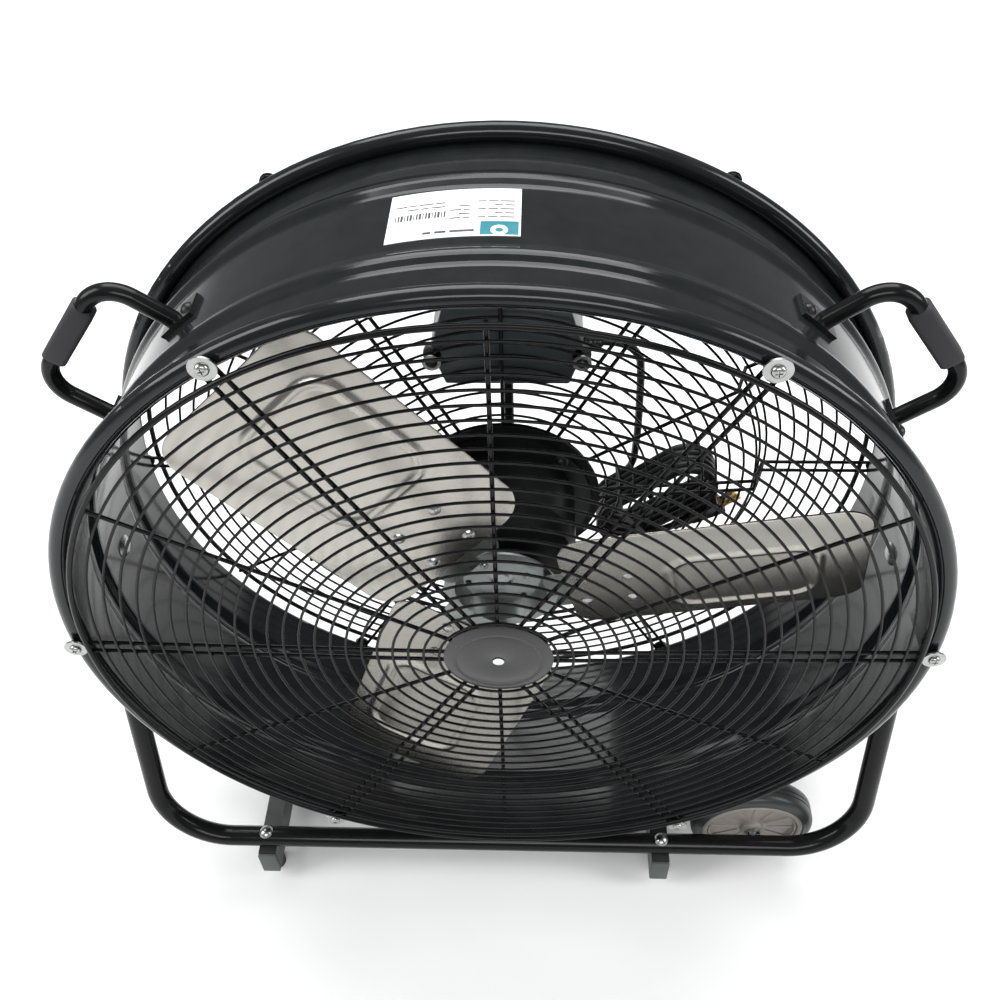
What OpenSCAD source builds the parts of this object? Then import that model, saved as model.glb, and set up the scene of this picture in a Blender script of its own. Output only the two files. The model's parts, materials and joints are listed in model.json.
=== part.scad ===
// Wheeled drum fan on a round-tube stand.
// X runs from the foot side to the wheel side, Y from the air outlet to the motor, Z is up.
// Modules draw in the fan frame: drum axis above the floor at (0, y, axis_h), drum middle at
// y = 0. place() then moves everything so that the origin is under the middle of the fan.

/* [Drum] */
// Inner radius of the drum shell
shell_ir = 324.5; // [300:0.5:340]
// Sheet thickness of the drum shell
shell_t = 1.5; // [1:0.1:3]
// Distance between the two rolled rims, centre to centre
rim_spacing = 186; // [150:1:240]
// Radius of the rolled rims
roll_r = 7; // [5:0.5:10]
// Distance of each raised bead from the middle of the drum
bead_y = 43; // [38:1:50]
// Width of a raised bead
bead_w = 24; // [16:1:30]
// Height of a raised bead
bead_h = 4; // [2:0.5:6]

/* [Guards] */
// Radius of the smallest ring of the front guard
ring_first = 46; // [44:1:60]
// Distance from one guard ring to the next
ring_pitch = 12; // [10:0.5:16]
// Wire radius of the rings
ring_r = 1.1; // [0.8:0.1:2]
// Wire radius of the spokes
spoke_r = 1.6; // [1.2:0.1:2.5]
// Wire radius of the outer ring
outer_ring_r = 2.2; // [1.6:0.1:3]
// Distance between the two wires of a double spoke
spoke_gap = 10.6; // [8:0.2:14]
// How far the middle of the front guard stands out
front_bulge = 4.5; // [0:0.5:12]
// How far the rear guard is dished in towards the motor
rear_dish = 24; // [16:1:30]
// Radius at which the rear guard steps in
dish_r = 222; // [200:1:240]
// Radius of the centre cap
cap_r = 42.5; // [41:0.5:43.5]

/* [Blades] */
// Radius of the blade tips
tip_r = 289; // [250:1:300]
// Radius at which a blade starts
root_r = 54; // [50:1:60]
// Chord of a blade
blade_chord = 149; // [110:1:160]
// How far the blade's middle line sits off the radius
blade_offset = -3; // [-8:1:8]
// Pitch angle of the blades
blade_pitch = 12.5; // [8:0.5:16]
// Radius of the blade's curved section
blade_curve_r = 790; // [700:10:1200]
// Thickness of the blade sheet
blade_t = 1.5; // [1:0.1:2.5]
// Direction of the first blade
blade_angle = 10.6; // [0:0.1:119]
// How far the blades sit in front of the drum's middle
blade_y = 47; // [40:1:55]

/* [Motor] */
// Radius of the motor's body
motor_r = 62; // [50:1:66]
// Length of the motor's body
motor_len = 70; // [60:1:80]
// Radius of the motor's rear flange
flange_r = 76; // [74:1:77]
// Radius of the shaft
shaft_r = 6; // [5:0.5:8]
// Radius of the bearings
bearing_r = 16; // [13:0.5:20]

/* [Switch box] */
// Width of the box at its waist
box_w = 124; // [118:1:128]
// Height of the box
box_h = 92; // [84:1:94]
// Depth of the box
box_d = 50; // [44:1:70]
// Sideways place of the box
box_x = 4; // [0:1:6]
// Height of the box's middle over the drum axis
box_z = 160; // [158:1:162]
// Radius of the speed knob
knob_r = 17; // [12:0.5:22]
// Width of the rating label
label_w = 84; // [60:1:100]
// Sideways place of the label's middle
label_x = -24; // [-40:1:40]

/* [Handles] */
// Radius of the handle tube
handle_r = 6.5; // [5:0.5:8]
// Distance between the handle's legs
handle_span = 112; // [90:1:140]
// How far the grip stands off the shell
handle_reach = 52; // [40:1:70]
// Direction of the handles over the horizontal
handle_angle = 38; // [30:1:50]

/* [Stand] */
// Radius of the stand tubes
tube_r = 10; // [8:0.5:10.5]
// Wall thickness of the stand tubes
tube_t = 1.5; // [1:0.1:2.5]
// Distance of the legs from the middle of the fan
leg_x = 351.5; // [351:0.5:380]
// Height of the drum axis over the base tubes
leg_drop = 355; // [355:1:420]
// Distance of the base tubes from the middle of the fan
base_y = 92; // [85:1:120]
// Bend radius of the stand tubes
bend_r = 68; // [40:1:90]
// Width of the cross tubes
cross_w = 18; // [16:1:30]
// Height of the cross tubes
cross_h = 35; // [25:1:38]
// Wall thickness of the cross tubes
cross_t = 1.5; // [1:0.1:2.5]
// Length of the cross tubes
cross_len = 212; // [200:1:260]
// Place of the cross tube on the foot side
cross_left_x = -248; // [-262:1:-200]
// Place of the cross tube on the wheel side
cross_right_x = 157; // [100:1:170]

/* [Wheels] */
// Radius of the wheels
wheel_r = 62; // [55:1:75]
// Width of a wheel
wheel_w = 32; // [24:1:36]
// Place of the wheels
wheel_x = 252; // [235:1:265]
// Radius of the axle
axle_r = 5; // [4:0.5:6]

/* [Fits] */
// Radial clearance of a running fit
run_fit = 0.06; // [0.02:0.01:0.1]
// Gap between pieces that move past each other
gap = 0.4; // [0.3:0.1:1]
// Gap between pieces that only lie close
seat_gap = 0.1; // [0.05:0.05:0.2]

/* [Hidden] */
$fn = 96;
fine = 0.02;

axis_h = wheel_r + leg_drop;
shell_or = shell_ir + shell_t;
rim_y = rim_spacing / 2;
roll_c = shell_or + roll_r;
rim_face = rim_y + roll_r;

// Front guard, as distances in front of the drum's middle
spoke_out_z = rim_face + spoke_r + seat_gap;
spoke_in_z = spoke_out_z + front_bulge;
outer_ring_c = roll_c - 11.5;
ring_count = floor((outer_ring_c - outer_ring_r - ring_r - 4 - ring_first) / ring_pitch) + 1;
cap_plate_t = 1.5;
cap_t = 3.6;
cap_face = spoke_in_z + spoke_r + seat_gap + cap_t;
screw_count = 6;
washer_r = 9;
washer_t = 1.4;

// Rear guard, as distances behind the drum's middle
dish_out_r = dish_r + 10;
dish_in_z = spoke_out_z - rear_dish;
plate_r = 84;
plate_t = 2.5;
mount_ring_r = 79;
dish_slope = 11.5;
dish_hub_z = dish_in_z - dish_slope;
function rear_z(r) = dish_in_z - dish_slope * (dish_r - r) / (dish_r - mount_ring_r);
inner_rings = floor((dish_r - mount_ring_r - 8) / ring_pitch);
outer_rings = floor((outer_ring_c - dish_out_r - 4) / ring_pitch);

// Motor, as places along Y
plate_y = dish_hub_z - spoke_r - seat_gap - plate_t;
flange_t = 4;
flange_y = plate_y - flange_t;
motor_y = flange_y - motor_len;
wall = 3;
rotor_r = motor_r - 17;
boss_r = 14;
hub_y = motor_y - 16;
spider_t = 2;
dish_rim_r = 33;
hub_screw_r = 21;

// Blade and arm
rivet_r = 3;
rivet_s = [67, 105];
rivet_c = [-27, 11];
arm_c = -8;
arm_w = 56;
arm_len = 112;

// Switch box
box_y = dish_in_z + spoke_r + 2 * ring_r + 0.5;
box_back = box_y + box_d;
lid_t = 3;
ear_z = box_z - 15;
ear_x = box_w / 2 - 2;
ear_y = rear_z(ear_z) + spoke_r - washer_t;
knob_h = 15;
knob_shaft_r = 4;

// Stand
lean = atan(base_y / leg_drop);
leg_len = sqrt(base_y * base_y + leg_drop * leg_drop);
tab_t = 4;
tab_r = 14;
tab_len = 60;
neck_len = 26;
pivot_r = 5;
foot_h = wheel_r - tube_r - cross_h;
end_cap_t = 4;
frame_bolt_r = 4;
nut_across = 13;
nut_h = 7;
bolt_fit = 0.2;

// Wheels
tyre_t = 11;
wheel_gap = 4;
wheel_y = base_y - tube_r - wheel_gap - wheel_w / 2;

// Extents that set the origin
front_reach = max(cap_face + 1.2, cross_len / 2 + end_cap_t);
rear_reach = box_back + knob_h;
origin_y = (rear_reach - front_reach) / 2;

// Power cord
cord_r = 3.5;
hank_len = 126;
hank_w = 56.5;
hank_t = 46.5;
hank_wall = 7.4;
hank_at = [139, 102.5, axis_h - 38];
hank_tilt = 40;
tie_x = -20;
tie_front = 69.5;
strap_t = 1.4;
gland_at = [box_x + box_w / 2 - 4, box_y + 24, axis_h + box_z - 20];
cord_start = gland_at + [20, 0, 0];
cord_drops = [
    [0, 0, 0], [6, 0, 0], [17, 0, -2], [26, 0.5, -8], [32, 1, -17], [34, 2, -28],
    [35.5, 4, -48], [36.5, 6.5, -70], [37.5, 9, -92], [38, 11.5, -114], [38, 14, -134],
    [37.7, 15.5, -149], [35.5, 16, -160]];
cord_points = [for (d = cord_drops) cord_start + d];

// ---- Helpers ----

// Moves a piece from the fan frame to the origin under the middle of the fan
module place() {
    translate([0, -origin_y, 0]) children();
}

// Local x points out from the drum axis at angle a, local z towards the air outlet
module outward(a) {
    translate([0, 0, axis_h]) rotate([0, -a, 0]) rotate([90, 0, 0]) children();
}

// Local x points out from the drum axis at angle a, local z towards the motor side
module outward_rear(a) {
    translate([0, 0, axis_h]) rotate([0, -a, 0]) rotate([-90, 0, 0]) children();
}

// A piece that turns about the drum axis, local z towards the motor side
module on_axis(y) {
    translate([0, y, axis_h]) rotate([-90, 0, 0]) children();
}

// A straight rod in the local XZ plane from radius r1 at height z1 to radius r2 at height z2,
// longer by over at both ends where it meets the next rod at an angle
module rod(r1, z1, r2, z2, y, radius, over = 0) {
    len = sqrt((r2 - r1) * (r2 - r1) + (z2 - z1) * (z2 - z1));
    translate([r1, y, z1]) rotate([0, 90 - atan2(z2 - z1, r2 - r1), 0])
        translate([0, 0, -over]) cylinder(h = len + 2 * over, r = radius, $fn = 32);
}

module ring(r, z, radius) {
    translate([0, 0, z]) rotate_extrude() translate([r, 0]) circle(r = radius, $fn = 24);
}

module washer(outer, inner, thick) {
    difference() {
        cylinder(h = thick, r = outer);
        translate([0, 0, -1]) cylinder(h = thick + 2, r = inner);
    }
}

module hex(across, h) {
    cylinder(h = h, r = across / sqrt(3), $fn = 6);
}

module dome_head(r, h) {
    curve = (r * r + h * h) / (2 * h);
    intersection() {
        cylinder(h = h + 1, r = r);
        translate([0, 0, h - curve]) sphere(r = curve);
    }
}

// ---- Drum ----

// Outline of the shell's outer face with its two raised beads, offset inwards by t
function bead(y, c) = abs(y - c) < bead_w / 2
    ? bead_h * (0.5 + 0.5 * cos(360 * (y - c) / bead_w)) : 0;
function shell_line(y, t) = shell_or - t + bead(y, bead_y) + bead(y, -bead_y);
function bead_ys(c) = [for (i = [-6 : 6]) c + i * bead_w / 12];
shell_ys = concat([-rim_y], bead_ys(-bead_y), bead_ys(bead_y), [rim_y]);

module drum_shell() {
    color("#14171a") place() on_axis(0) difference() {
        union() {
            rotate_extrude($fn = 180) polygon(concat(
                [for (y = shell_ys) [shell_line(y, 0), y]],
                [for (i = [len(shell_ys) - 1 : -1 : 0])
                    [shell_line(shell_ys[i], shell_t), shell_ys[i]]]));
            for (s = [-1, 1]) ring(roll_c - fine, s * rim_y, roll_r);
        }
        for (s = [-1, 1]) rotate([0, s * 90, 0])
            translate([0, 0, shell_ir - 10]) cylinder(h = 30, r = pivot_r + bolt_fit);
        for (a = [handle_angle, 180 - handle_angle], s = [-1, 1])
            rotate([0, 0, -a - s * foot_screw_angle()]) rotate([0, 90, 0])
                translate([0, 0, shell_ir - 10]) cylinder(h = 30, r = 2.6);
        for (a = [0 : 60 : 300], s = [-1, 1]) rotate([0, 0, a]) translate([roll_c, 0, s * rim_y])
            translate([0, 0, s > 0 ? 0 : -roll_r - 1]) cylinder(h = roll_r + 1, r = 2.1);
    }
}

// ---- Guards ----

module spoke_pair(r1, z1, r2, z2, over = 0) {
    for (s = [-1, 1]) rod(r1, z1, r2, z2, s * spoke_gap / 2, spoke_r, over);
}

// The wire that runs round the screw and joins the two wires of a double spoke
module spoke_loop(z) {
    translate([roll_c, 0, z]) rotate([0, 0, -90])
        rotate_extrude(angle = 180) translate([spoke_gap / 2, 0]) circle(r = spoke_r, $fn = 24);
}

module front_guard_spokes() {
    color("#101214") place() for (a = [0 : 60 : 300]) {
        outward(a) {
            spoke_pair(cap_r - 5, spoke_in_z, roll_c, spoke_out_z);
            spoke_loop(spoke_out_z);
        }
        outward(a + 30) rod(cap_r - 5, spoke_in_z, outer_ring_c, spoke_out_z, 0, spoke_r);
    }
}

function front_z(r) = spoke_in_z
    + (spoke_out_z - spoke_in_z) * (r - cap_r + 5) / (roll_c - cap_r + 5);

module front_guard_rings() {
    lift = spoke_r + seat_gap;
    color("#101214") place() outward(0) {
        for (i = [0 : ring_count - 1]) let (r = ring_first + i * ring_pitch)
            ring(r, front_z(r) + lift + ring_r, ring_r);
        ring(outer_ring_c, front_z(outer_ring_c) + lift + outer_ring_r, outer_ring_r);
    }
}

module front_guard_cap() {
    inner = cap_r - 7.5;
    z = spoke_in_z + spoke_r + seat_gap;
    color("#232425") place() outward(0) translate([0, 0, z]) difference() {
        rotate_extrude() polygon([[0, 0], [cap_r, 0], [cap_r, 1], [inner, cap_t], [0, cap_t]]);
        translate([0, 0, -1]) cylinder(h = cap_t + 2, r = 2.6);
    }
}

module front_cap_plate() {
    z = spoke_in_z - spoke_r - seat_gap - cap_plate_t;
    color("#1b1c1e") place() outward(0) translate([0, 0, z]) washer(cap_r - 2, 2.6, cap_plate_t);
}

module front_cap_screw() {
    z = spoke_in_z - spoke_r - seat_gap - cap_plate_t;
    color("#e8e8e6") place() outward(0) {
        translate([0, 0, cap_face]) dome_head(4.4, 1.2);
        translate([0, 0, z - 5]) cylinder(h = cap_face - z + 5 + fine, r = 2.5);
        translate([0, 0, z - 4]) hex(8, 4);
    }
}

module front_guard_washers() {
    color("#b9bcbb") place() for (a = [0 : 60 : 300]) outward(a)
        translate([roll_c, 0, spoke_out_z + spoke_r + seat_gap])
        washer(washer_r, 2.3, washer_t);
}

module guard_screw(z) {
    translate([roll_c, 0, z]) {
        dome_head(4.6, 2.8);
        translate([0, 0, -11]) cylinder(h = 11 + fine, r = 2);
    }
}

module front_guard_screws() {
    color("#c6c8c6") place() for (a = [0 : 60 : 300]) outward(a)
        guard_screw(spoke_out_z + spoke_r + seat_gap + washer_t);
}

module rear_guard_spokes() {
    color("#101214") place() for (a = [0 : 60 : 300]) {
        outward_rear(a) {
            spoke_pair(dish_out_r, spoke_out_z, roll_c, spoke_out_z);
            spoke_pair(dish_r, dish_in_z, dish_out_r, spoke_out_z, 1);
            spoke_pair(mount_ring_r - 3, dish_hub_z, dish_r, dish_in_z);
            spoke_loop(spoke_out_z);
        }
        outward_rear(a + 30) {
            rod(mount_ring_r - 3, dish_hub_z, dish_r, dish_in_z, 0, spoke_r);
            rod(dish_r, dish_in_z, dish_out_r, spoke_out_z, 0, spoke_r, 1);
            rod(dish_out_r, spoke_out_z, outer_ring_c, spoke_out_z, 0, spoke_r);
        }
    }
}

module rear_guard_rings() {
    lift = spoke_r + seat_gap;
    slant = atan2(spoke_out_z - dish_in_z, dish_out_r - dish_r);
    color("#101214") place() outward_rear(0) {
        ring(mount_ring_r, rear_z(mount_ring_r) + lift + outer_ring_r, outer_ring_r);
        for (i = [1 : inner_rings]) let (r = mount_ring_r + i * ring_pitch)
            ring(r, rear_z(r) + lift + ring_r, ring_r);
        for (k = [0.35, 0.8]) ring(
            dish_r + k * (dish_out_r - dish_r) - (lift + ring_r) * sin(slant),
            dish_in_z + k * (spoke_out_z - dish_in_z) + (lift + ring_r) * cos(slant), ring_r);
        for (i = [0 : outer_rings - 1])
            ring(dish_out_r + 2 + i * ring_pitch, spoke_out_z + lift + ring_r, ring_r);
        ring(outer_ring_c, spoke_out_z + lift + outer_ring_r, outer_ring_r);
    }
}

module rear_guard_screws() {
    z = spoke_out_z + spoke_r + seat_gap;
    color("#1a1b1d") place() for (a = [0 : 60 : 300]) outward_rear(a) {
        guard_screw(z + washer_t);
        translate([roll_c, 0, z]) cylinder(h = washer_t + fine, r = washer_r - 2);
    }
}

// ---- Motor ----

module mount_holes(h) {
    for (a = [45 : 90 : 315]) rotate([0, 0, a]) translate([flange_r - 7, 0, -1])
        cylinder(h = h + 2, r = 2.6);
}

module motor_mount_plate() {
    color("#2a2c2f") place() on_axis(plate_y) difference() {
        cylinder(h = plate_t, r = plate_r);
        translate([0, 0, -1]) cylinder(h = plate_t + 2, r = 22);
        mount_holes(plate_t);
        for (a = [0 : 90 : 270]) rotate([0, 0, a]) translate([motor_r - 6, 0, -1])
            cylinder(h = plate_t + 2, r = 4.2);
    }
}

module motor_flange() {
    color("#1d1f21") place() on_axis(flange_y) difference() {
        cylinder(h = flange_t, r = flange_r);
        translate([0, 0, -1]) cylinder(h = flange_t + 2, r = 20);
        mount_holes(flange_t);
        for (a = [0 : 90 : 270]) rotate([0, 0, a]) translate([motor_r - 6, 0, -1])
            cylinder(h = flange_t + 2, r = 2.1);
    }
}

module motor_body() {
    color("#17191b") place() on_axis(motor_y) difference() {
        rotate_extrude() polygon([
            [0, 0], [motor_r - 14, 0], [motor_r - 4, 5], [motor_r, 16],
            [motor_r, motor_len - seat_gap], [0, motor_len - seat_gap]]);
        translate([0, 0, wall + 9]) cylinder(h = motor_len, r = rotor_r + 3);
        translate([0, 0, wall]) cylinder(h = 10, r = bearing_r + fine);
        translate([0, 0, -1]) cylinder(h = wall + 2, r = shaft_r + 1.5);
        for (a = [0 : 90 : 270]) rotate([0, 0, a]) translate([motor_r - 6, 0, motor_len - 12])
            cylinder(h = 20, r = 1.9);
    }
}

module motor_flange_screws() {
    color("#c49a4a") place() for (a = [0 : 90 : 270]) outward_rear(a)
        translate([motor_r - 6, 0, flange_y + flange_t]) {
            dome_head(3.8, plate_t - seat_gap);
            translate([0, 0, -flange_t - 8]) cylinder(h = flange_t + 9, r = 1.8);
        }
}

// Black machine screws: four clamp the motor's flange, two clamp the switch box to the guard
module mount_screws() {
    color("#151618") place() {
        for (a = [45 : 90 : 315]) outward(a)
            translate([flange_r - 7, 0, -flange_y + washer_t]) mount_screw(14);
        for (s = [-1, 1]) translate([box_x + s * ear_x, ear_y, axis_h + ear_z])
            rotate([90, 0, 0]) mount_screw(box_y + 6 - ear_y);
    }
}

module mount_screw(len) {
    dome_head(5, 3);
    translate([0, 0, -len]) cylinder(h = len + fine, r = 2.5);
}

module mount_washers() {
    color("#c9cbc9") place() {
        for (a = [45 : 90 : 315]) outward(a)
            translate([flange_r - 7, 0, -flange_y]) washer(6.6, 2.6, washer_t - fine);
        for (s = [-1, 1]) translate([box_x + s * ear_x, ear_y + washer_t, axis_h + ear_z])
            rotate([90, 0, 0]) washer(7.6, 2.6, washer_t - fine);
    }
}

// The front bearing sits in the motor's wall, the rear one in a plate that fills its bore
module bearings() {
    color("#aeb2b4") place() {
        on_axis(motor_y + wall)
            washer(bearing_r, shaft_r + run_fit, 9);
        on_axis(motor_y + motor_len - 12) {
            washer(bearing_r, shaft_r + run_fit, 9);
            washer(rotor_r + 3 - seat_gap, bearing_r - fine, 3);
        }
    }
}

// ---- Rotor ----

module motor_shaft() {
    color("#9a9ea0") place() on_axis(hub_y - 3)
        cylinder(h = motor_y + motor_len - 5 - hub_y, r = shaft_r);
}

module motor_rotor() {
    color("#7d8184") place() on_axis(motor_y + 22)
        washer(rotor_r, shaft_r + fine, 30);
}

module hub_boss() {
    color("#a4a8aa") place() on_axis(hub_y) difference() {
        union() {
            washer(boss_r, shaft_r + fine, 13);
            washer(hub_screw_r + 4, boss_r - 1, 4);
        }
        for (a = [0 : 120 : 240]) rotate([0, 0, -a - blade_angle])
            translate([hub_screw_r, 0, -1]) cylinder(h = 6, r = 2 + fine);
    }
}

// A blade's curved sheet between two radii of its section, cut to a plan outline
module curved_sheet(inner, outer) {
    intersection() {
        translate([0, 0, -20]) linear_extrude(40) children();
        translate([root_r - 40, 0, -blade_curve_r]) rotate([0, 90, 0]) difference() {
            cylinder(h = tip_r, r = blade_curve_r + outer, $fn = 360);
            translate([0, 0, -1]) cylinder(h = tip_r + 2, r = blade_curve_r + inner, $fn = 360);
        }
    }
}

// A rectangle with round corners, from two bars and four discs
module round_rect(x1, x2, y1, y2, r) {
    translate([x1 + r, y1]) square([x2 - x1 - 2 * r, y2 - y1]);
    translate([x1, y1 + r]) square([x2 - x1, y2 - y1 - 2 * r]);
    for (x = [x1 + r, x2 - r], y = [y1 + r, y2 - r]) translate([x, y]) circle(r = r);
}

// Puts a child in the frame of blade n: x along the blade, y across it, z to the air outlet
module blade_frame(n) {
    outward(blade_angle + n * 120) translate([0, 0, blade_y]) rotate([blade_pitch, 0, 0])
        children();
}

module rivet_holes(r) {
    for (s = rivet_s, c = rivet_c) translate([s, c]) circle(r = r, $fn = 24);
}

module blade(n) {
    c1 = blade_offset - blade_chord / 2;
    color("#b8b4a8") place() blade_frame(n) curved_sheet(-blade_t / 2, blade_t / 2)
        difference() {
            round_rect(root_r, tip_r, c1, c1 + blade_chord, 24);
            rivet_holes(rivet_r + run_fit);
        }
}

module blade_1() {
    blade(0);
}

module blade_2() {
    blade(1);
}

module blade_3() {
    blade(2);
}

module hub_spider() {
    flat_y = -blade_y + 6;
    color("#9fa5a3") place() difference() {
        union() {
            on_axis(hub_y - spider_t) rotate_extrude() polygon([
                [shaft_r + 4, 0], [dish_rim_r - 1, 0],
                [dish_rim_r + 5, flat_y - hub_y], [dish_rim_r + 14, flat_y - hub_y],
                [dish_rim_r + 14, flat_y - hub_y + spider_t],
                [dish_rim_r + 6.5, flat_y - hub_y + spider_t],
                [dish_rim_r, spider_t], [shaft_r + 4, spider_t]]);
            for (n = [0 : 2]) blade_frame(n)
                curved_sheet(-blade_t / 2 - fine - 2.4, -blade_t / 2 - fine) difference() {
                    round_rect(dish_rim_r + 4, arm_len, arm_c - arm_w / 2,
                        arm_c + arm_w / 2, 8);
                    rivet_holes(rivet_r + run_fit);
                }
        }
        for (a = [0 : 120 : 240]) outward(a + blade_angle) {
            translate([hub_screw_r, 0, -hub_y - 10]) cylinder(h = 20, r = 2.1);
            rotate([0, 0, 60]) translate([28, 0, -hub_y - 10]) cylinder(h = 20, r = 2.6);
        }
    }
}

module hub_screws() {
    color("#b4b7b5") place() for (a = [0 : 120 : 240]) outward(a + blade_angle)
        translate([hub_screw_r, 0, -hub_y + spider_t]) {
            dome_head(3.6, 2.2);
            translate([0, 0, -spider_t - 3]) cylinder(h = spider_t + 3 + fine, r = 2);
        }
}

module blade_rivets() {
    depth = blade_t / 2 + 2.6;
    color("#c9cbc8") place() for (n = [0 : 2]) blade_frame(n)
        for (s = rivet_s, c = rivet_c) translate([s, c, 0]) {
            translate([0, 0, -depth - 1.4]) cylinder(h = depth + blade_t + 1.6, r = rivet_r);
            translate([0, 0, blade_t / 2 + 0.1]) dome_head(5, 1.8);
            translate([0, 0, -depth - 2.4]) cylinder(h = 1.6, r = 4.4);
        }
}

// ---- Switch box ----

// Front view of the box, widest at its waist
module box_outline(inset) {
    w = box_w / 2 - inset;
    t = w - 11;
    h = box_h / 2 - inset;
    waist = -11;
    neck = 28;
    polygon([[-t, -h], [t, -h], [w, waist], [t, neck], [t, h], [-t, h], [-t, neck],
        [-w, waist]]);
}

module on_box(y) {
    translate([box_x, y, axis_h + box_z]) rotate([90, 0, 0]) children();
}

module switch_box_base() {
    color("#33383b") place() difference() {
        union() {
            on_box(box_back - lid_t) linear_extrude(box_d - lid_t) box_outline(0);
            for (s = [-1, 1]) translate([box_x + s * ear_x, box_y + 6, axis_h + ear_z])
                rotate([90, 0, 0]) cylinder(h = 6, r = 8);
        }
        on_box(box_back + 1) linear_extrude(box_d + 1 - wall) box_outline(wall);
        for (s = [-1, 1]) translate([box_x + s * ear_x, box_y + 8, axis_h + ear_z])
            rotate([90, 0, 0]) cylinder(h = 10, r = 2.5 + bolt_fit);
        translate([box_x + box_w / 2 - 20, gland_at[1], gland_at[2]]) rotate([0, 90, 0])
            cylinder(h = 40, r = 6 + fine);
        translate([box_x, box_y + 12, axis_h + box_z - box_h / 2 - 2])
            cylinder(h = 8, r = 4.5 + fine);
    }
}

module switch_box_cover() {
    color("#2b2f32") place() difference() {
        on_box(box_back) linear_extrude(lid_t - fine) box_outline(0);
        translate([box_x, box_back - 10, axis_h + box_z]) rotate([-90, 0, 0])
            cylinder(h = 20, r = knob_shaft_r + run_fit);
    }
}

module rotary_switch() {
    color("#d8d4c8") place() translate([box_x, box_back - lid_t, axis_h + box_z]) {
        translate([-15, -24, -15]) cube([30, 24 - seat_gap, 30]);
    }
}

module switch_knob() {
    color("#1c1e20") place() translate([box_x, box_back, axis_h + box_z])
        rotate([-90, 0, 0]) {
            translate([0, 0, gap]) cylinder(h = 4, r = knob_r);
            translate([0, 0, gap + 3]) cylinder(h = knob_h - gap - 3, r = knob_r - 4);
            translate([-2.5, -knob_r, gap]) cube([5, 2 * knob_r, knob_h - gap - 1]);
            translate([0, 0, -lid_t + 0.5]) cylinder(h = lid_t + gap, r = knob_shaft_r);
        }
}

module run_capacitor() {
    color("#ded9cc") place() translate([box_x + 20, box_y + wall, axis_h + box_z - 22])
        cube([26, 20, 34]);
}

module cord_gland() {
    color("#1a1b1d") place() translate(gland_at) rotate([0, 90, 0]) {
        translate([0, 0, -6]) cylinder(h = 11, r = 6);
        translate([0, 0, 4.2]) cylinder(h = 3.8, r = 9);
        translate([0, 0, 8]) cylinder(h = 12, r1 = 7, r2 = 5);
    }
}

// Short lead from the box down to the motor's rear end
module motor_lead() {
    y = box_y + 12;
    top = axis_h + box_z - box_h / 2;
    low = axis_h + 30;
    color("#141517") place() {
        translate([box_x, y, low + 16]) cylinder(h = top - low - 16 + wall, r = 4.5);
        translate([box_x, y - 16, low + 16]) rotate([0, 90, 0])
            rotate_extrude(angle = 90) translate([16, 0]) circle(r = 4.5, $fn = 32);
        translate([box_x, plate_y + plate_t, low]) rotate([-90, 0, 0])
            cylinder(h = y - 16 - plate_y - plate_t, r = 4.5);
    }
}

// ---- Handles ----

module handle(a) {
    top = shell_or + handle_reach;
    half = handle_span / 2;
    r = 24;
    foot = shell_or + 1;
    outward(a) {
        for (s = [-1, 1]) {
            translate([foot - 4, s * half, 0]) rotate([0, 90, 0])
                cylinder(h = top - r - foot + 4, r = handle_r);
            translate([top - r, s * (half - r), 0]) rotate([0, 0, s > 0 ? 0 : -90])
                rotate_extrude(angle = 90) translate([r, 0]) circle(r = handle_r, $fn = 48);
        }
        translate([top, r - half, 0]) rotate([-90, 0, 0])
            cylinder(h = handle_span - 2 * r, r = handle_r);
    }
}

// A strap bent to the shell at the foot of each leg, with a screw hole outside the leg
module handle_feet(a) {
    half = handle_span / 2;
    outward(a) difference() {
        intersection() {
            translate([0, 0, -11]) cylinder(h = 22, r = shell_or + 3.5);
            union() {
                for (s = [-1, 1]) translate([200, s * (half + 6) - 16, -12])
                    cube([200, 32, 24]);
            }
        }
        translate([0, 0, -30]) cylinder(h = 60, r = shell_or + 0.02);
        for (s = [-1, 1]) rotate([0, 0, s * foot_screw_angle()]) rotate([0, 90, 0])
            cylinder(h = 500, r = 2.6);
    }
}

function foot_screw_angle() = asin((handle_span / 2 + 14) / shell_or);

module handle_piece(a) {
    difference() {
        union() {
            handle(a);
            handle_feet(a);
        }
        outward(a) translate([0, 0, -60]) cylinder(h = 120, r = shell_or + 0.02);
    }
}

module handle_left() {
    color("#151618") place() handle_piece(180 - handle_angle);
}

module handle_right() {
    color("#151618") place() handle_piece(handle_angle);
}

module handle_grips() {
    top = shell_or + handle_reach;
    len = handle_span - 54;
    color("#232527") place() for (a = [handle_angle, 180 - handle_angle]) outward(a)
        difference() {
            translate([top - handle_r - 3, -len / 2, -8.5]) cube([2 * handle_r + 5, len, 17]);
            translate([top, -len / 2 - 1, 0]) rotate([-90, 0, 0])
                cylinder(h = len + 2, r = handle_r + fine);
        }
}

module handle_screws() {
    color("#1b1c1e") place() for (a = [handle_angle, 180 - handle_angle], s = [-1, 1])
        outward(a + s * foot_screw_angle()) rotate([0, 90, 0]) {
            translate([0, 0, shell_or + 3.6]) dome_head(5, 3);
            translate([0, 0, shell_ir - 4.2]) cylinder(h = 9.4, r = 2.3);
            translate([0, 0, shell_ir - 3.4]) hex(7, 3);
        }
}

module rating_label() {
    turn = 2 * asin(label_w / 2 / shell_or);
    color("#e9eaea") place() on_axis(0) rotate([0, 0, -90 - turn / 2 + asin(label_x / shell_or)])
        rotate_extrude(angle = turn) translate([shell_or + seat_gap, -24]) square([0.4, 54]);
}

// ---- Stand ----

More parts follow.
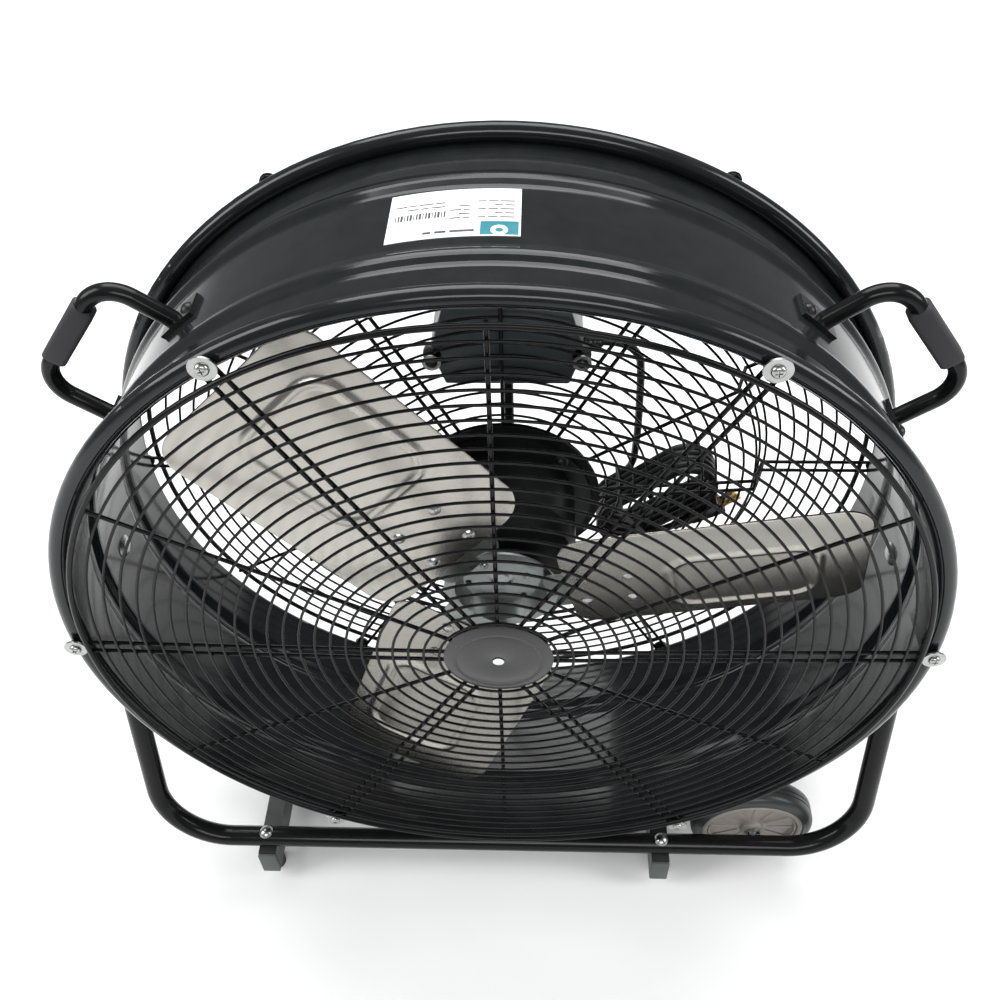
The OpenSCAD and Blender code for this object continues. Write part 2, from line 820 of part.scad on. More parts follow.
// The U of a frame tube in its own plane, drawn from the pivot axis down
module frame_u(r, end) {
    x = leg_x - bend_r;
    z = -leg_len;
    translate([-x, 0, z]) rotate([0, 90, 0]) cylinder(h = 2 * x, r = r);
    for (s = [-1, 1]) {
        translate([s * x, 0, z + bend_r]) rotate([90, 0, 0]) rotate([0, 0, s > 0 ? -90 : 180])
            rotate_extrude(angle = 90) translate([bend_r, 0]) circle(r = r, $fn = 48);
        translate([s * leg_x, 0, z + bend_r]) cylinder(h = leg_len - bend_r - end, r = r);
    }
}

// Flattened end of a leg; side is 1 for the outer tab and -1 for the inner one
module leg_tab(s, side) {
    x1 = side > 0 ? 0 : -tab_t;
    translate([s * leg_x, 0, 0]) mirror([s < 0 ? 1 : 0, 0, 0]) {
        hull() {
            translate([0, 0, -tab_len - neck_len]) cylinder(h = 1, r = tube_r, $fn = 32);
            translate([x1, -tab_r, -tab_len]) cube([tab_t, 2 * tab_r, 1]);
        }
        translate([x1, -tab_r, -tab_len]) cube([tab_t, 2 * tab_r, tab_len]);
        translate([x1, 0, 0]) rotate([0, 90, 0]) cylinder(h = tab_t, r = tab_r);
    }
}

module frame_tube(front) {
    dir = front ? -1 : 1;
    color("#16181a") place() difference() {
        translate([0, 0, axis_h]) rotate([dir * lean, 0, 0]) difference() {
            union() {
                difference() {
                    frame_u(tube_r, tab_len + neck_len);
                    frame_u(tube_r - tube_t, tab_len + neck_len - fine);
                }
                for (s = [-1, 1]) leg_tab(s, front ? 1 : -1);
            }
            translate([-leg_x - 20, 0, 0]) rotate([0, 90, 0])
                cylinder(h = 2 * leg_x + 40, r = pivot_r + run_fit);
        }
        for (x = [cross_left_x, cross_right_x]) translate([x, dir * base_y, 0])
            cylinder(h = wheel_r + 40, r = frame_bolt_r + bolt_fit);
        translate([wheel_x, 0, wheel_r]) rotate([dir * -90, 0, 0])
            cylinder(h = base_y + fine, r = axle_r + fine);
    }
}

module front_frame_tube() {
    frame_tube(true);
}

module rear_frame_tube() {
    frame_tube(false);
}

module cross_tube(x) {
    z = foot_h;
    color("#1a1d1f") place() difference() {
        translate([x - cross_w / 2, -cross_len / 2, z]) cube([cross_w, cross_len, cross_h]);
        translate([x - cross_w / 2 + cross_t, -cross_len / 2 - 1, z + cross_t])
            cube([cross_w - 2 * cross_t, cross_len + 2, cross_h - 2 * cross_t]);
        for (s = [-1, 1]) {
            translate([x, s * base_y, z - 5]) cylinder(h = cross_h + 10, r = frame_bolt_r + bolt_fit);
            translate([x, s * base_y, z + cross_h + tube_r]) rotate([0, 90, 0])
                cylinder(h = cross_w + 2, r = tube_r + fine, center = true);
        }
    }
}

module cross_tube_left() {
    cross_tube(cross_left_x);
}

module cross_tube_right() {
    cross_tube(cross_right_x);
}

module end_caps() {
    color("#3b403e") place() for (x = [cross_left_x, cross_right_x], s = [-1, 1])
        translate([x, s * cross_len / 2, foot_h + cross_h / 2]) {
            translate([-cross_w / 2, s > 0 ? seat_gap / 2 : -end_cap_t - seat_gap / 2,
                -cross_h / 2]) cube([cross_w, end_cap_t, cross_h]);
            translate([-cross_w / 2 + cross_t + seat_gap, s > 0 ? -9 : -seat_gap,
                -cross_h / 2 + cross_t + seat_gap])
                cube([cross_w - 2 * cross_t - 2 * seat_gap, 9 + seat_gap,
                    cross_h - 2 * cross_t - 2 * seat_gap]);
        }
}

module rubber_feet() {
    r = cross_w / 2 - seat_gap;
    color("#26292a") place() for (s = [-1, 1]) translate([cross_left_x, s * base_y, 0])
        difference() {
            rotate_extrude() polygon([[0, 0], [r - 1, 0], [r, 2], [r, foot_h], [0, foot_h]]);
            translate([0, 0, 4]) cylinder(h = foot_h, r = frame_bolt_r + bolt_fit);
            translate([0, 0, foot_h - nut_h - seat_gap])
                cylinder(h = nut_h + 1, r = nut_across / sqrt(3) + seat_gap);
        }
}

module frame_bolts() {
    top = wheel_r + tube_r;
    color("#bfc2c2") place() for (x = [cross_left_x, cross_right_x], s = [-1, 1])
        translate([x, s * base_y, 0]) {
            difference() {
                translate([0, 0, top - 0.6]) dome_head(7, 4.4);
                translate([0, 0, wheel_r]) rotate([0, 90, 0])
                    cylinder(h = 20, r = tube_r + fine, center = true);
            }
            translate([0, 0, 6]) cylinder(h = top - 5, r = frame_bolt_r);
        }
}

module frame_nuts() {
    color("#aab0b0") place() for (x = [cross_left_x, cross_right_x], s = [-1, 1])
        translate([x, s * base_y, foot_h - nut_h]) difference() {
            hex(nut_across, nut_h);
            translate([0, 0, -1]) cylinder(h = nut_h + 2, r = frame_bolt_r + fine);
        }
}

module wheel_axle() {
    color("#8c9093") place() translate([wheel_x, -base_y + tube_r / 2, wheel_r])
        rotate([-90, 0, 0]) cylinder(h = 2 * base_y - tube_r, r = axle_r);
}

// Collars on the axle that keep each wheel beside its base tube
module axle_collars() {
    inner_end = wheel_y - wheel_w / 2 - gap;
    color("#8c9093") place() translate([wheel_x, 0, wheel_r]) rotate([-90, 0, 0]) {
        for (s = [-1, 1]) mirror([0, 0, s < 0 ? 1 : 0]) {
            translate([0, 0, inner_end - 12]) washer(9, axle_r + fine, 12);
            translate([0, 0, wheel_y + wheel_w / 2 + gap]) washer(8, axle_r + fine, 2.6);
        }
    }
}

module wheel_hub(s) {
    bore = axle_r + run_fit;
    rim = wheel_r - tyre_t;
    half = wheel_w / 2;
    color("#75695f") place() translate([wheel_x, s * wheel_y, wheel_r]) rotate([90, 0, 0])
        difference() {
            rotate_extrude() polygon([
                [0, -half], [13, -half], [13, -half + 5], [rim - 8, -half + 9],
                [rim - 5, -half + 1], [rim, -half + 1], [rim, half - 1], [rim - 5, half - 1],
                [rim - 8, half - 9], [13, half - 5], [13, half], [0, half]]);
            cylinder(h = wheel_w + 2, r = bore, center = true);
        }
}

module wheel_tyre(s) {
    rim = wheel_r - tyre_t;
    half = wheel_w / 2 - 1;
    color("#1d1f20") place() translate([wheel_x, s * wheel_y, wheel_r]) rotate([90, 0, 0])
        rotate_extrude() polygon([
            [rim, -half], [wheel_r - 5, -half], [wheel_r - 1.5, -half + 2.5],
            [wheel_r, -half + 7], [wheel_r, half - 7], [wheel_r - 1.5, half - 2.5],
            [wheel_r - 5, half], [rim, half]]);
}

module front_wheel_hub() {
    wheel_hub(-1);
}

module rear_wheel_hub() {
    wheel_hub(1);
}

module front_wheel_tyre() {
    wheel_tyre(-1);
}

module rear_wheel_tyre() {
    wheel_tyre(1);
}

// ---- Pivots: the bolts, bushes and nuts turn with the drum in the leg tabs ----

module on_pivot() {
    for (s = [-1, 1]) translate([0, 0, axis_h]) mirror([s < 0 ? 1 : 0, 0, 0])
        rotate([0, 90, 0]) children();
}

module pivot_bolts() {
    head = shell_ir - 3.4;
    end = leg_x + tab_t + 12;
    color("#b7babb") place() on_pivot() {
        translate([0, 0, head]) cylinder(h = end - head, r = pivot_r);
        translate([0, 0, head + 3]) rotate([180, 0, 0]) dome_head(10, 4);
    }
}

module pivot_bushes() {
    far = leg_x - tab_t - gap;
    color("#1c1e20") place() on_pivot() difference() {
        translate([0, 0, shell_ir]) washer(13, pivot_r + fine, far - shell_ir);
        rotate([90, 0, 0]) cylinder(h = 100, r = shell_or + 0.02, center = true);
    }
}

module pivot_lock_nuts() {
    z = leg_x + tab_t + gap;
    color("#aab0b0") place() on_pivot() difference() {
        union() {
            translate([0, 0, z]) cylinder(h = 1.6, r = 11);
            translate([0, 0, z + 1.5]) hex(16, 8);
        }
        translate([0, 0, z - 1]) cylinder(h = 20, r = pivot_r + fine);
    }
}

// ---- Power cord ----

function unit(v) = v / norm(v);
function along(p, i) = unit(p[min(i + 1, len(p) - 1)] - p[max(i - 1, 0)]);
function cord_ring(p, i, r, n) =
    let (t = along(p, i), u = unit(cross(t, [0, 1, 0])), v = cross(u, t))
    [for (k = [0 : n - 1]) p[i] + r * (cos(360 * k / n) * u + sin(360 * k / n) * v)];

module swept_tube(p, r, n) {
    last = len(p) - 1;
    polyhedron(
        points = [for (i = [0 : last], q = cord_ring(p, i, r, n)) q],
        faces = concat(
            [[for (k = [0 : n - 1]) k]],
            [for (i = [0 : last - 1], k = [0 : n - 1])
                [i * n + k, (i + 1) * n + k, (i + 1) * n + (k + 1) % n, i * n + (k + 1) % n]],
            [[for (k = [n - 1 : -1 : 0]) last * n + k]]));
}

module power_cord() {
    color("#131415") place() swept_tube(cord_points, cord_r, 10);
}

module in_hank() {
    translate(hank_at) rotate([0, -hank_tilt, 0]) rotate([90, 0, 0]) children();
}

// A flat bar with round ends, centred on the origin
module stadium(len, w) {
    translate([w / 2 - len / 2, -w / 2]) square([len - w, w]);
    for (s = [-1, 1]) translate([s * (len / 2 - w / 2), 0]) circle(r = w / 2);
}

module cord_hank() {
    color("#131415") place() in_hank() translate([0, 0, -hank_t / 2]) linear_extrude(hank_t)
        difference() {
            stadium(hank_len, hank_w);
            stadium(hank_len - 2 * hank_wall, hank_w - 2 * hank_wall);
        }
}

// A strap round the middle of the hank and the guard rings in front of it
module cord_tie() {
    w = hank_w + 2 * seat_gap;
    back = hank_at[1] + hank_t / 2 + seat_gap;
    color("#1d1e20") place() in_hank() translate([tie_x, 0, hank_at[1]]) difference() {
        translate([-2.5, -w / 2 - strap_t, -back - strap_t])
            cube([5, w + 2 * strap_t, back - tie_front + 2 * strap_t]);
        translate([-4, -w / 2, -back]) cube([8, w, back - tie_front]);
    }
}

module power_plug() {
    color("#18191b") place() in_hank() translate([12, -hank_w / 2 - 16, 4.2]) {
        cube([36, 16, 18]);
        for (s = [-1, 1]) translate([35, 8 + s * 6 - 0.8, 5.8]) cube([19, 1.6, 6.4]);
    }
}

front_frame_tube();
rear_frame_tube();
cross_tube_left();
cross_tube_right();
end_caps();
rubber_feet();
frame_bolts();
frame_nuts();
wheel_axle();
axle_collars();
pivot_bolts();
pivot_bushes();
pivot_lock_nuts();
drum_shell();
front_guard_rings();
front_guard_spokes();
front_guard_cap();
front_cap_plate();
front_cap_screw();
front_guard_washers();
front_guard_screws();
rear_guard_rings();
rear_guard_spokes();
rear_guard_screws();
motor_mount_plate();
motor_body();
motor_flange();
motor_flange_screws();
mount_screws();
mount_washers();
bearings();
motor_lead();
switch_box_base();
switch_box_cover();
rotary_switch();
run_capacitor();
cord_gland();
handle_left();
handle_right();
handle_grips();
handle_screws();
rating_label();
switch_knob();
motor_shaft();
motor_rotor();
hub_boss();
hub_spider();
hub_screws();
blade_1();
blade_2();
blade_3();
blade_rivets();
front_wheel_tyre();
front_wheel_hub();
rear_wheel_tyre();
rear_wheel_hub();
power_cord();
cord_hank();
cord_tie();
power_plug();
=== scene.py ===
"""Wheeled drum fan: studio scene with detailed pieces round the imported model.

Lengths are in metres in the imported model's frame: +Z up, -Y the way the air leaves,
+X towards the wheels. The drum's middle lies on the tilt joint's axis.
"""

import functools
import json
import logging
import math
from dataclasses import dataclass
from enum import Enum
from typing import Callable, Iterable, Sequence

import bmesh
import bpy
from mathutils import Matrix, Vector


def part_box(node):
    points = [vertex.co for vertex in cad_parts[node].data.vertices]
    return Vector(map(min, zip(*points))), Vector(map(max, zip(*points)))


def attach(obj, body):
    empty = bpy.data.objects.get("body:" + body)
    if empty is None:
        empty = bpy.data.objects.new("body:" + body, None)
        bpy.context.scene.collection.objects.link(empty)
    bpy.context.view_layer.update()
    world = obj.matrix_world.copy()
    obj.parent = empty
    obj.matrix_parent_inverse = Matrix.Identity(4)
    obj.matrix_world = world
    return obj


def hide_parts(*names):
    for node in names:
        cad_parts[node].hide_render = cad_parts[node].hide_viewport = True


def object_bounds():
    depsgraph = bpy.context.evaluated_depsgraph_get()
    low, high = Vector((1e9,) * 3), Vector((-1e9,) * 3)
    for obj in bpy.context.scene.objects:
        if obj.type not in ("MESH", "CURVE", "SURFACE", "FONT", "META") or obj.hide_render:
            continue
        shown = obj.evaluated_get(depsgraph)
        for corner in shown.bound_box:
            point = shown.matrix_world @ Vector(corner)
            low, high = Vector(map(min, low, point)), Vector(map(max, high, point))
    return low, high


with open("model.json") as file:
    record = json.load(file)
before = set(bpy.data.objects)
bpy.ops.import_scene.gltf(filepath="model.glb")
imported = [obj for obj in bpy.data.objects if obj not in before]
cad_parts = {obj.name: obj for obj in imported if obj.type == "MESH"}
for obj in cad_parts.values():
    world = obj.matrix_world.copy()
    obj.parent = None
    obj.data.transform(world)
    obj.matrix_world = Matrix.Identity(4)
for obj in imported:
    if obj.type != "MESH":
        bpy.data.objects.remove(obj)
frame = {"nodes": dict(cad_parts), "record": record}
CAD_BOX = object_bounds()
LOG = logging.getLogger("drum_fan")

JOINTS = {j["name"]: j for j in frame["record"]["behaviour"]["joints"]}
PIVOT = Vector(JOINTS["drum_tilt"]["pos_m"])
MM = 0.001

Point = tuple[float, float, float]
Profile = Sequence[tuple[float, float]]


# ---------------------------------------------------------------------------
# Frames of the object's own directions
# ---------------------------------------------------------------------------


def outward(angle: float) -> Matrix:
    """Frame on the drum axis: x points out at the angle, z towards the air outlet.

    Args:
        angle: direction over the horizontal, in degrees, seen from the outlet.

    Returns:
        The matrix from that frame to the object's frame.
    """
    return (
        Matrix.Translation(PIVOT)
        @ Matrix.Rotation(math.radians(-angle), 4, "Y")
        @ Matrix.Rotation(math.radians(90), 4, "X")
    )


def in_drum(x: float, y: float, z: float) -> Vector:
    """A point given in millimetres from the drum's middle, in the object's frame."""
    return PIVOT + Vector((x, y, z)) * MM


# ---------------------------------------------------------------------------
# Bench: the operators every sub-assembly uses
# ---------------------------------------------------------------------------


class Shading(Enum):
    """How a finished piece's faces meet."""

    SOFT = 50.0
    CRISP = 30.0


class Bench:
    """Edit-mode tools that make a new piece from a primitive."""

    @staticmethod
    def clear() -> None:
        """Leaves nothing selected."""
        if bpy.context.object is not None and bpy.context.object.mode != "OBJECT":
            bpy.ops.object.mode_set(mode="OBJECT")
        bpy.ops.object.select_all(action="DESELECT")

    @staticmethod
    def seated(piece: bpy.types.Object, name: str, place: Matrix | None = None,
               shading: Shading = Shading.SOFT) -> bpy.types.Object:
        """Puts the piece's place in its mesh and shades it.

        Args:
            piece: the piece to finish.
            name: its name.
            place: where its own frame lies, or None where it is already.
            shading: how its faces meet.

        Returns:
            The same piece, at the origin, unturned and unscaled.
        """
        Bench.clear()
        piece.name = name
        piece.data.name = name
        if place is not None:
            piece.matrix_world = place @ piece.matrix_world
        piece.select_set(True)
        bpy.context.view_layer.objects.active = piece
        bpy.ops.object.transform_apply(location=True, rotation=True, scale=True)
        bpy.ops.object.shade_smooth_by_angle(angle=math.radians(shading.value))
        Bench.clear()
        return piece

    @staticmethod
    def turned(name: str, profile: Profile, place: Matrix, steps: int = 96,
               shading: Shading = Shading.SOFT, closed: bool = False) -> bpy.types.Object:
        """A piece spun from a profile, as on a lathe.

        Args:
            name: the piece's name.
            profile: (radius, height) points in millimetres, round the section.
            place: the frame whose z axis is the lathe's axis.
            steps: facets round the piece.
            shading: how its faces meet.
            closed: True where the profile is a loop clear of the axis.

        Returns:
            The piece.
        """
        Bench.clear()
        bpy.ops.mesh.primitive_plane_add(size=MM, location=(0, 0, 0))
        piece = bpy.context.object
        bpy.ops.object.mode_set(mode="EDIT")
        bpy.ops.mesh.select_all(action="SELECT")
        bpy.ops.mesh.merge(type="CENTER")
        points = list(profile) + ([profile[0]] if closed else [])
        r0, h0 = points[0]
        bpy.ops.transform.translate(value=(r0 * MM, 0, h0 * MM))
        for (r1, h1), (r2, h2) in zip(points, points[1:]):
            bpy.ops.mesh.extrude_vertices_move(
                TRANSFORM_OT_translate={"value": ((r2 - r1) * MM, 0, (h2 - h1) * MM)})
        bpy.ops.mesh.select_all(action="SELECT")
        bpy.ops.mesh.spin(steps=steps, angle=2 * math.pi, center=(0, 0, 0), axis=(0, 0, 1))
        bpy.ops.mesh.select_all(action="SELECT")
        bpy.ops.mesh.remove_doubles(threshold=2e-6)
        bpy.ops.mesh.normals_make_consistent(inside=False)
        bpy.ops.object.mode_set(mode="OBJECT")
        return Bench.seated(piece, name, place, shading)

    @staticmethod
    def block(name: str, size: Point, place: Matrix, bevel: float, segments: int = 3,
              shaper: Callable[[bmesh.types.BMesh], None] | None = None) -> bpy.types.Object:
        """A box with rounded edges, shaped further by a function.

        Args:
            name: the piece's name.
            size: its sizes in millimetres, centred on the frame's origin.
            place: the frame it stands in.
            bevel: edge radius in millimetres.
            segments: facets over each edge.
            shaper: edits the box's mesh before its edges are rounded.

        Returns:
            The piece.
        """
        Bench.clear()
        bpy.ops.mesh.primitive_cube_add(size=1)
        piece = bpy.context.object
        piece.scale = [s * MM for s in size]
        bpy.ops.object.transform_apply(location=False, rotation=False, scale=True)
        if shaper is not None:
            mesh = bmesh.new()
            mesh.from_mesh(piece.data)
            shaper(mesh)
            mesh.to_mesh(piece.data)
            mesh.free()
        Bench.modified(piece, "BEVEL", width=bevel * MM, segments=segments,
                       limit_method="ANGLE", angle_limit=math.radians(25))
        return Bench.seated(piece, name, place, Shading.CRISP)

    @staticmethod
    def modified(piece: bpy.types.Object, kind: str, **settings: object) -> None:
        """Adds one modifier with its settings and applies it.

        Args:
            piece: the piece to change.
            kind: the modifier's type.
            settings: the modifier's own properties.
        """
        Bench.clear()
        piece.select_set(True)
        bpy.context.view_layer.objects.active = piece
        modifier = piece.modifiers.new(kind.lower(), kind)
        for key, value in settings.items():
            setattr(modifier, key, value)
        bpy.ops.object.modifier_apply(modifier=modifier.name)

    @staticmethod
    def plate(name: str, outline: Sequence[tuple[float, float]], thick: float, place: Matrix,
              bevel: float = 0.0, segments: int = 2) -> bpy.types.Object:
        """A flat plate from an outline, pulled up from z = 0 and with rounded edges.

        Args:
            name: the piece's name.
            outline: its corners in millimetres, in order.
            thick: its thickness in millimetres.
            place: the frame it stands in.
            bevel: edge radius in millimetres.
            segments: facets over each edge.

        Returns:
            The piece.
        """
        Bench.clear()
        bpy.ops.mesh.primitive_circle_add(vertices=len(outline), radius=1, fill_type="NGON")
        piece = bpy.context.object
        for vertex, (x, y) in zip(piece.data.vertices, outline):
            vertex.co = (x * MM, y * MM, 0)
        bpy.ops.object.mode_set(mode="EDIT")
        bpy.ops.mesh.select_all(action="SELECT")
        bpy.ops.mesh.extrude_region_move(
            TRANSFORM_OT_translate={"value": (0, 0, thick * MM)})
        bpy.ops.mesh.select_all(action="SELECT")
        bpy.ops.mesh.normals_make_consistent(inside=False)
        bpy.ops.object.mode_set(mode="OBJECT")
        if bevel:
            Bench.modified(piece, "BEVEL", width=bevel * MM, segments=segments,
                           limit_method="ANGLE", angle_limit=math.radians(25))
        return Bench.seated(piece, name, place, Shading.CRISP)

    @staticmethod
    def piped(name: str, points: Sequence[Vector], radius: float, sides: int = 5,
              live: bool = False) -> bpy.types.Object:
        """A round wire along points.

        Args:
            name: the piece's name.
            points: the centreline in the object's frame, in metres.
            radius: wire radius in metres.
            sides: bevel resolution; the wire has four more facets for each step of it.
            live: True to leave it a curve, as a cord is.

        Returns:
            The piece.
        """
        Bench.clear()
        curve = bpy.data.curves.new(name, "CURVE")
        curve.dimensions = "3D"
        curve.bevel_depth = radius
        curve.bevel_resolution = sides
        curve.use_fill_caps = True
        line = curve.splines.new("POLY")
        line.points.add(len(points) - 1)
        for knot, point in zip(line.points, points):
            knot.co = (*point, 1)
        piece = bpy.data.objects.new(name, curve)
        bpy.context.collection.objects.link(piece)
        if live:
            return piece
        piece.select_set(True)
        bpy.context.view_layer.objects.active = piece
        bpy.ops.object.convert(target="MESH")
        return Bench.seated(bpy.context.object, name)

    @staticmethod
    def copied(piece: bpy.types.Object, places: Iterable[Matrix]) -> list[bpy.types.Object]:
        """Copies of a piece, each with its own mesh moved by a matrix.

        Args:
            piece: the piece to copy.
            places: one matrix for each copy.

        Returns:
            The copies.
        """
        copies = []
        for place in places:
            twin = piece.copy()
            twin.data = piece.data.copy()
            twin.data.transform(place)
            bpy.context.collection.objects.link(twin)
            copies.append(twin)
        return copies

    @staticmethod
    def joined(name: str, pieces: Sequence[bpy.types.Object]) -> bpy.types.Object:
        """One piece from several, at the origin.

        Args:
            name: the name of the whole.
            pieces: what it is made of; the first one's materials come first.

        Returns:
            The whole.
        """
        Bench.clear()
        for piece in pieces:
            piece.select_set(True)
        bpy.context.view_layer.objects.active = pieces[0]
        if len(pieces) > 1:
            bpy.ops.object.join()
        whole = bpy.context.view_layer.objects.active
        whole.name = name
        whole.data.name = name
        Bench.clear()
        return whole


# ---------------------------------------------------------------------------
# Effects shared between finishes
# ---------------------------------------------------------------------------


class Effects:
    """Shader node groups, each built once."""

    @staticmethod
    def _group(name: str, inputs: Sequence[tuple[str, str, object]],
               outputs: Sequence[tuple[str, str]]) -> tuple:
        """A new group with its sockets.

        Args:
            name: the group's name.
            inputs: label, socket type and default value of each input.
            outputs: label and socket type of each output.

        Returns:
            The tree, its input node and its output node.
        """
        tree = bpy.data.node_groups.new(name, "ShaderNodeTree")
        for label, kind, default in inputs:
            socket = tree.interface.new_socket(label, in_out="INPUT", socket_type=kind)
            socket.default_value = default
        for label, kind in outputs:
            tree.interface.new_socket(label, in_out="OUTPUT", socket_type=kind)
        return tree, tree.nodes.new("NodeGroupInput"), tree.nodes.new("NodeGroupOutput")

    @staticmethod
    @functools.cache
    def mottle() -> bpy.types.NodeTree:
        """Slow and fast variation between two colours, and between two roughnesses."""
        tree, given, out = Effects._group(
            "surface_mottle",
            [("Low", "NodeSocketColor", (0, 0, 0, 1)), ("High", "NodeSocketColor", (1, 1, 1, 1)),
             ("Scale", "NodeSocketFloat", 20.0), ("Rough Low", "NodeSocketFloat", 0.3),
             ("Rough High", "NodeSocketFloat", 0.5)],
            [("Color", "NodeSocketColor"), ("Roughness", "NodeSocketFloat"),
             ("Mask", "NodeSocketFloat")])
        make, link = tree.nodes.new, tree.links.new
        where = make("ShaderNodeTexCoord")
        broad = make("ShaderNodeTexNoise")
        broad.inputs["Detail"].default_value = 6
        broad.inputs["Roughness"].default_value = 0.6
        link(where.outputs["Object"], broad.inputs["Vector"])
        link(given.outputs["Scale"], broad.inputs["Scale"])
        spread = make("ShaderNodeMapRange")
        spread.inputs["From Min"].default_value = 0.32
        spread.inputs["From Max"].default_value = 0.68
        link(broad.outputs["Fac"], spread.inputs["Value"])
        blend = make("ShaderNodeMix")
        blend.data_type = "RGBA"
        link(spread.outputs["Result"], blend.inputs["Factor"])
        link(given.outputs["Low"], blend.inputs["A"])
        link(given.outputs["High"], blend.inputs["B"])
        rough = make("ShaderNodeMapRange")
        link(spread.outputs["Result"], rough.inputs["Value"])
        link(given.outputs["Rough Low"], rough.inputs["To Min"])
        link(given.outputs["Rough High"], rough.inputs["To Max"])
        link(blend.outputs["Result"], out.inputs["Color"])
        link(rough.outputs["Result"], out.inputs["Roughness"])
        link(spread.outputs["Result"], out.inputs["Mask"])
        return tree

    @staticmethod
    @functools.cache
    def dust() -> bpy.types.NodeTree:
        """A thin film of dust that gathers on what faces up."""
        tree, given, out = Effects._group(
            "settled_dust",
            [("Color", "NodeSocketColor", (0, 0, 0, 1)),
             ("Dust", "NodeSocketColor", (0.5, 0.48, 0.45, 1)),
             ("Amount", "NodeSocketFloat", 0.1), ("Roughness", "NodeSocketFloat", 0.3)],
            [("Color", "NodeSocketColor"), ("Roughness", "NodeSocketFloat")])
        make, link = tree.nodes.new, tree.links.new
        shape = make("ShaderNodeNewGeometry")
        split = make("ShaderNodeSeparateXYZ")
        link(shape.outputs["Normal"], split.inputs["Vector"])
        up = make("ShaderNodeMapRange")
        up.inputs["From Min"].default_value = 0.1
        up.inputs["From Max"].default_value = 1.0
        link(split.outputs["Z"], up.inputs["Value"])
        where = make("ShaderNodeTexCoord")
        specks = make("ShaderNodeTexNoise")
        specks.inputs["Scale"].default_value = 60
        specks.inputs["Detail"].default_value = 8
        link(where.outputs["Object"], specks.inputs["Vector"])
        both = make("ShaderNodeMath")
        both.operation = "MULTIPLY"
        link(up.outputs["Result"], both.inputs[0])
        link(specks.outputs["Fac"], both.inputs[1])
        film = make("ShaderNodeMath")
        film.operation = "MULTIPLY"
        link(both.outputs[0], film.inputs[0])
        link(given.outputs["Amount"], film.inputs[1])
        blend = make("ShaderNodeMix")
        blend.data_type = "RGBA"
        link(film.outputs[0], blend.inputs["Factor"])
        link(given.outputs["Color"], blend.inputs["A"])
        link(given.outputs["Dust"], blend.inputs["B"])
        duller = make("ShaderNodeMath")
        duller.operation = "ADD"
        duller.use_clamp = True
        link(given.outputs["Roughness"], duller.inputs[0])
        link(film.outputs[0], duller.inputs[1])
        link(blend.outputs["Result"], out.inputs["Color"])
        link(duller.outputs[0], out.inputs["Roughness"])
        return tree

    @staticmethod
    @functools.cache
    def grain() -> bpy.types.NodeTree:
        """Height of a fine surface: enamel waves, moulded grain or rolling lines."""
        tree, given, out = Effects._group(
            "fine_grain",
            [("Scale", "NodeSocketFloat", 400.0), ("Stretch", "NodeSocketVector", (1, 1, 1)),
             ("Cells", "NodeSocketFloat", 0.0)],
            [("Height", "NodeSocketFloat")])
        make, link = tree.nodes.new, tree.links.new
        where = make("ShaderNodeTexCoord")
        stretched = make("ShaderNodeVectorMath")
        stretched.operation = "MULTIPLY"
        link(where.outputs["Object"], stretched.inputs[0])
        link(given.outputs["Stretch"], stretched.inputs[1])
        noise = make("ShaderNodeTexNoise")
        noise.inputs["Detail"].default_value = 4
        link(stretched.outputs["Vector"], noise.inputs["Vector"])
        link(given.outputs["Scale"], noise.inputs["Scale"])
        cells = make("ShaderNodeTexVoronoi")
        link(stretched.outputs["Vector"], cells.inputs["Vector"])
        link(given.outputs["Scale"], cells.inputs["Scale"])
        blend = make("ShaderNodeMix")
        link(given.outputs["Cells"], blend.inputs["Factor"])
        link(noise.outputs["Fac"], blend.inputs["A"])
        link(cells.outputs["Distance"], blend.inputs["B"])
        link(blend.outputs["Result"], out.inputs["Height"])
        return tree

    @staticmethod
    @functools.cache
    def spangle() -> bpy.types.NodeTree:
        """Zinc crystals: a tint and a roughness that step from cell to cell."""
        tree, given, out = Effects._group(
            "zinc_spangle",
            [("Color", "NodeSocketColor", (0.5, 0.5, 0.5, 1)), ("Scale", "NodeSocketFloat", 90.0),
             ("Roughness", "NodeSocketFloat", 0.35)],
            [("Color", "NodeSocketColor"), ("Roughness", "NodeSocketFloat")])
        make, link = tree.nodes.new, tree.links.new
        where = make("ShaderNodeTexCoord")
        cells = make("ShaderNodeTexVoronoi")
        link(where.outputs["Object"], cells.inputs["Vector"])
        link(given.outputs["Scale"], cells.inputs["Scale"])
        split = make("ShaderNodeSeparateColor")
        link(cells.outputs["Color"], split.inputs["Color"])
        tint = make("ShaderNodeMapRange")
        tint.inputs["To Min"].default_value = 0.92
        tint.inputs["To Max"].default_value = 1.05
        link(split.outputs["Red"], tint.inputs["Value"])
        shade = make("ShaderNodeVectorMath")
        shade.operation = "SCALE"
        link(given.outputs["Color"], shade.inputs[0])
        link(tint.outputs["Result"], shade.inputs["Scale"])
        rough = make("ShaderNodeMapRange")
        rough.inputs["To Min"].default_value = -0.03
        rough.inputs["To Max"].default_value = 0.05
        link(split.outputs["Green"], rough.inputs["Value"])
        total = make("ShaderNodeMath")
        total.operation = "ADD"
        link(given.outputs["Roughness"], total.inputs[0])
        link(rough.outputs["Result"], total.inputs[1])
        link(shade.outputs["Vector"], out.inputs["Color"])
        link(total.outputs[0], out.inputs["Roughness"])
        return tree


# ---------------------------------------------------------------------------
# Finishes
# ---------------------------------------------------------------------------


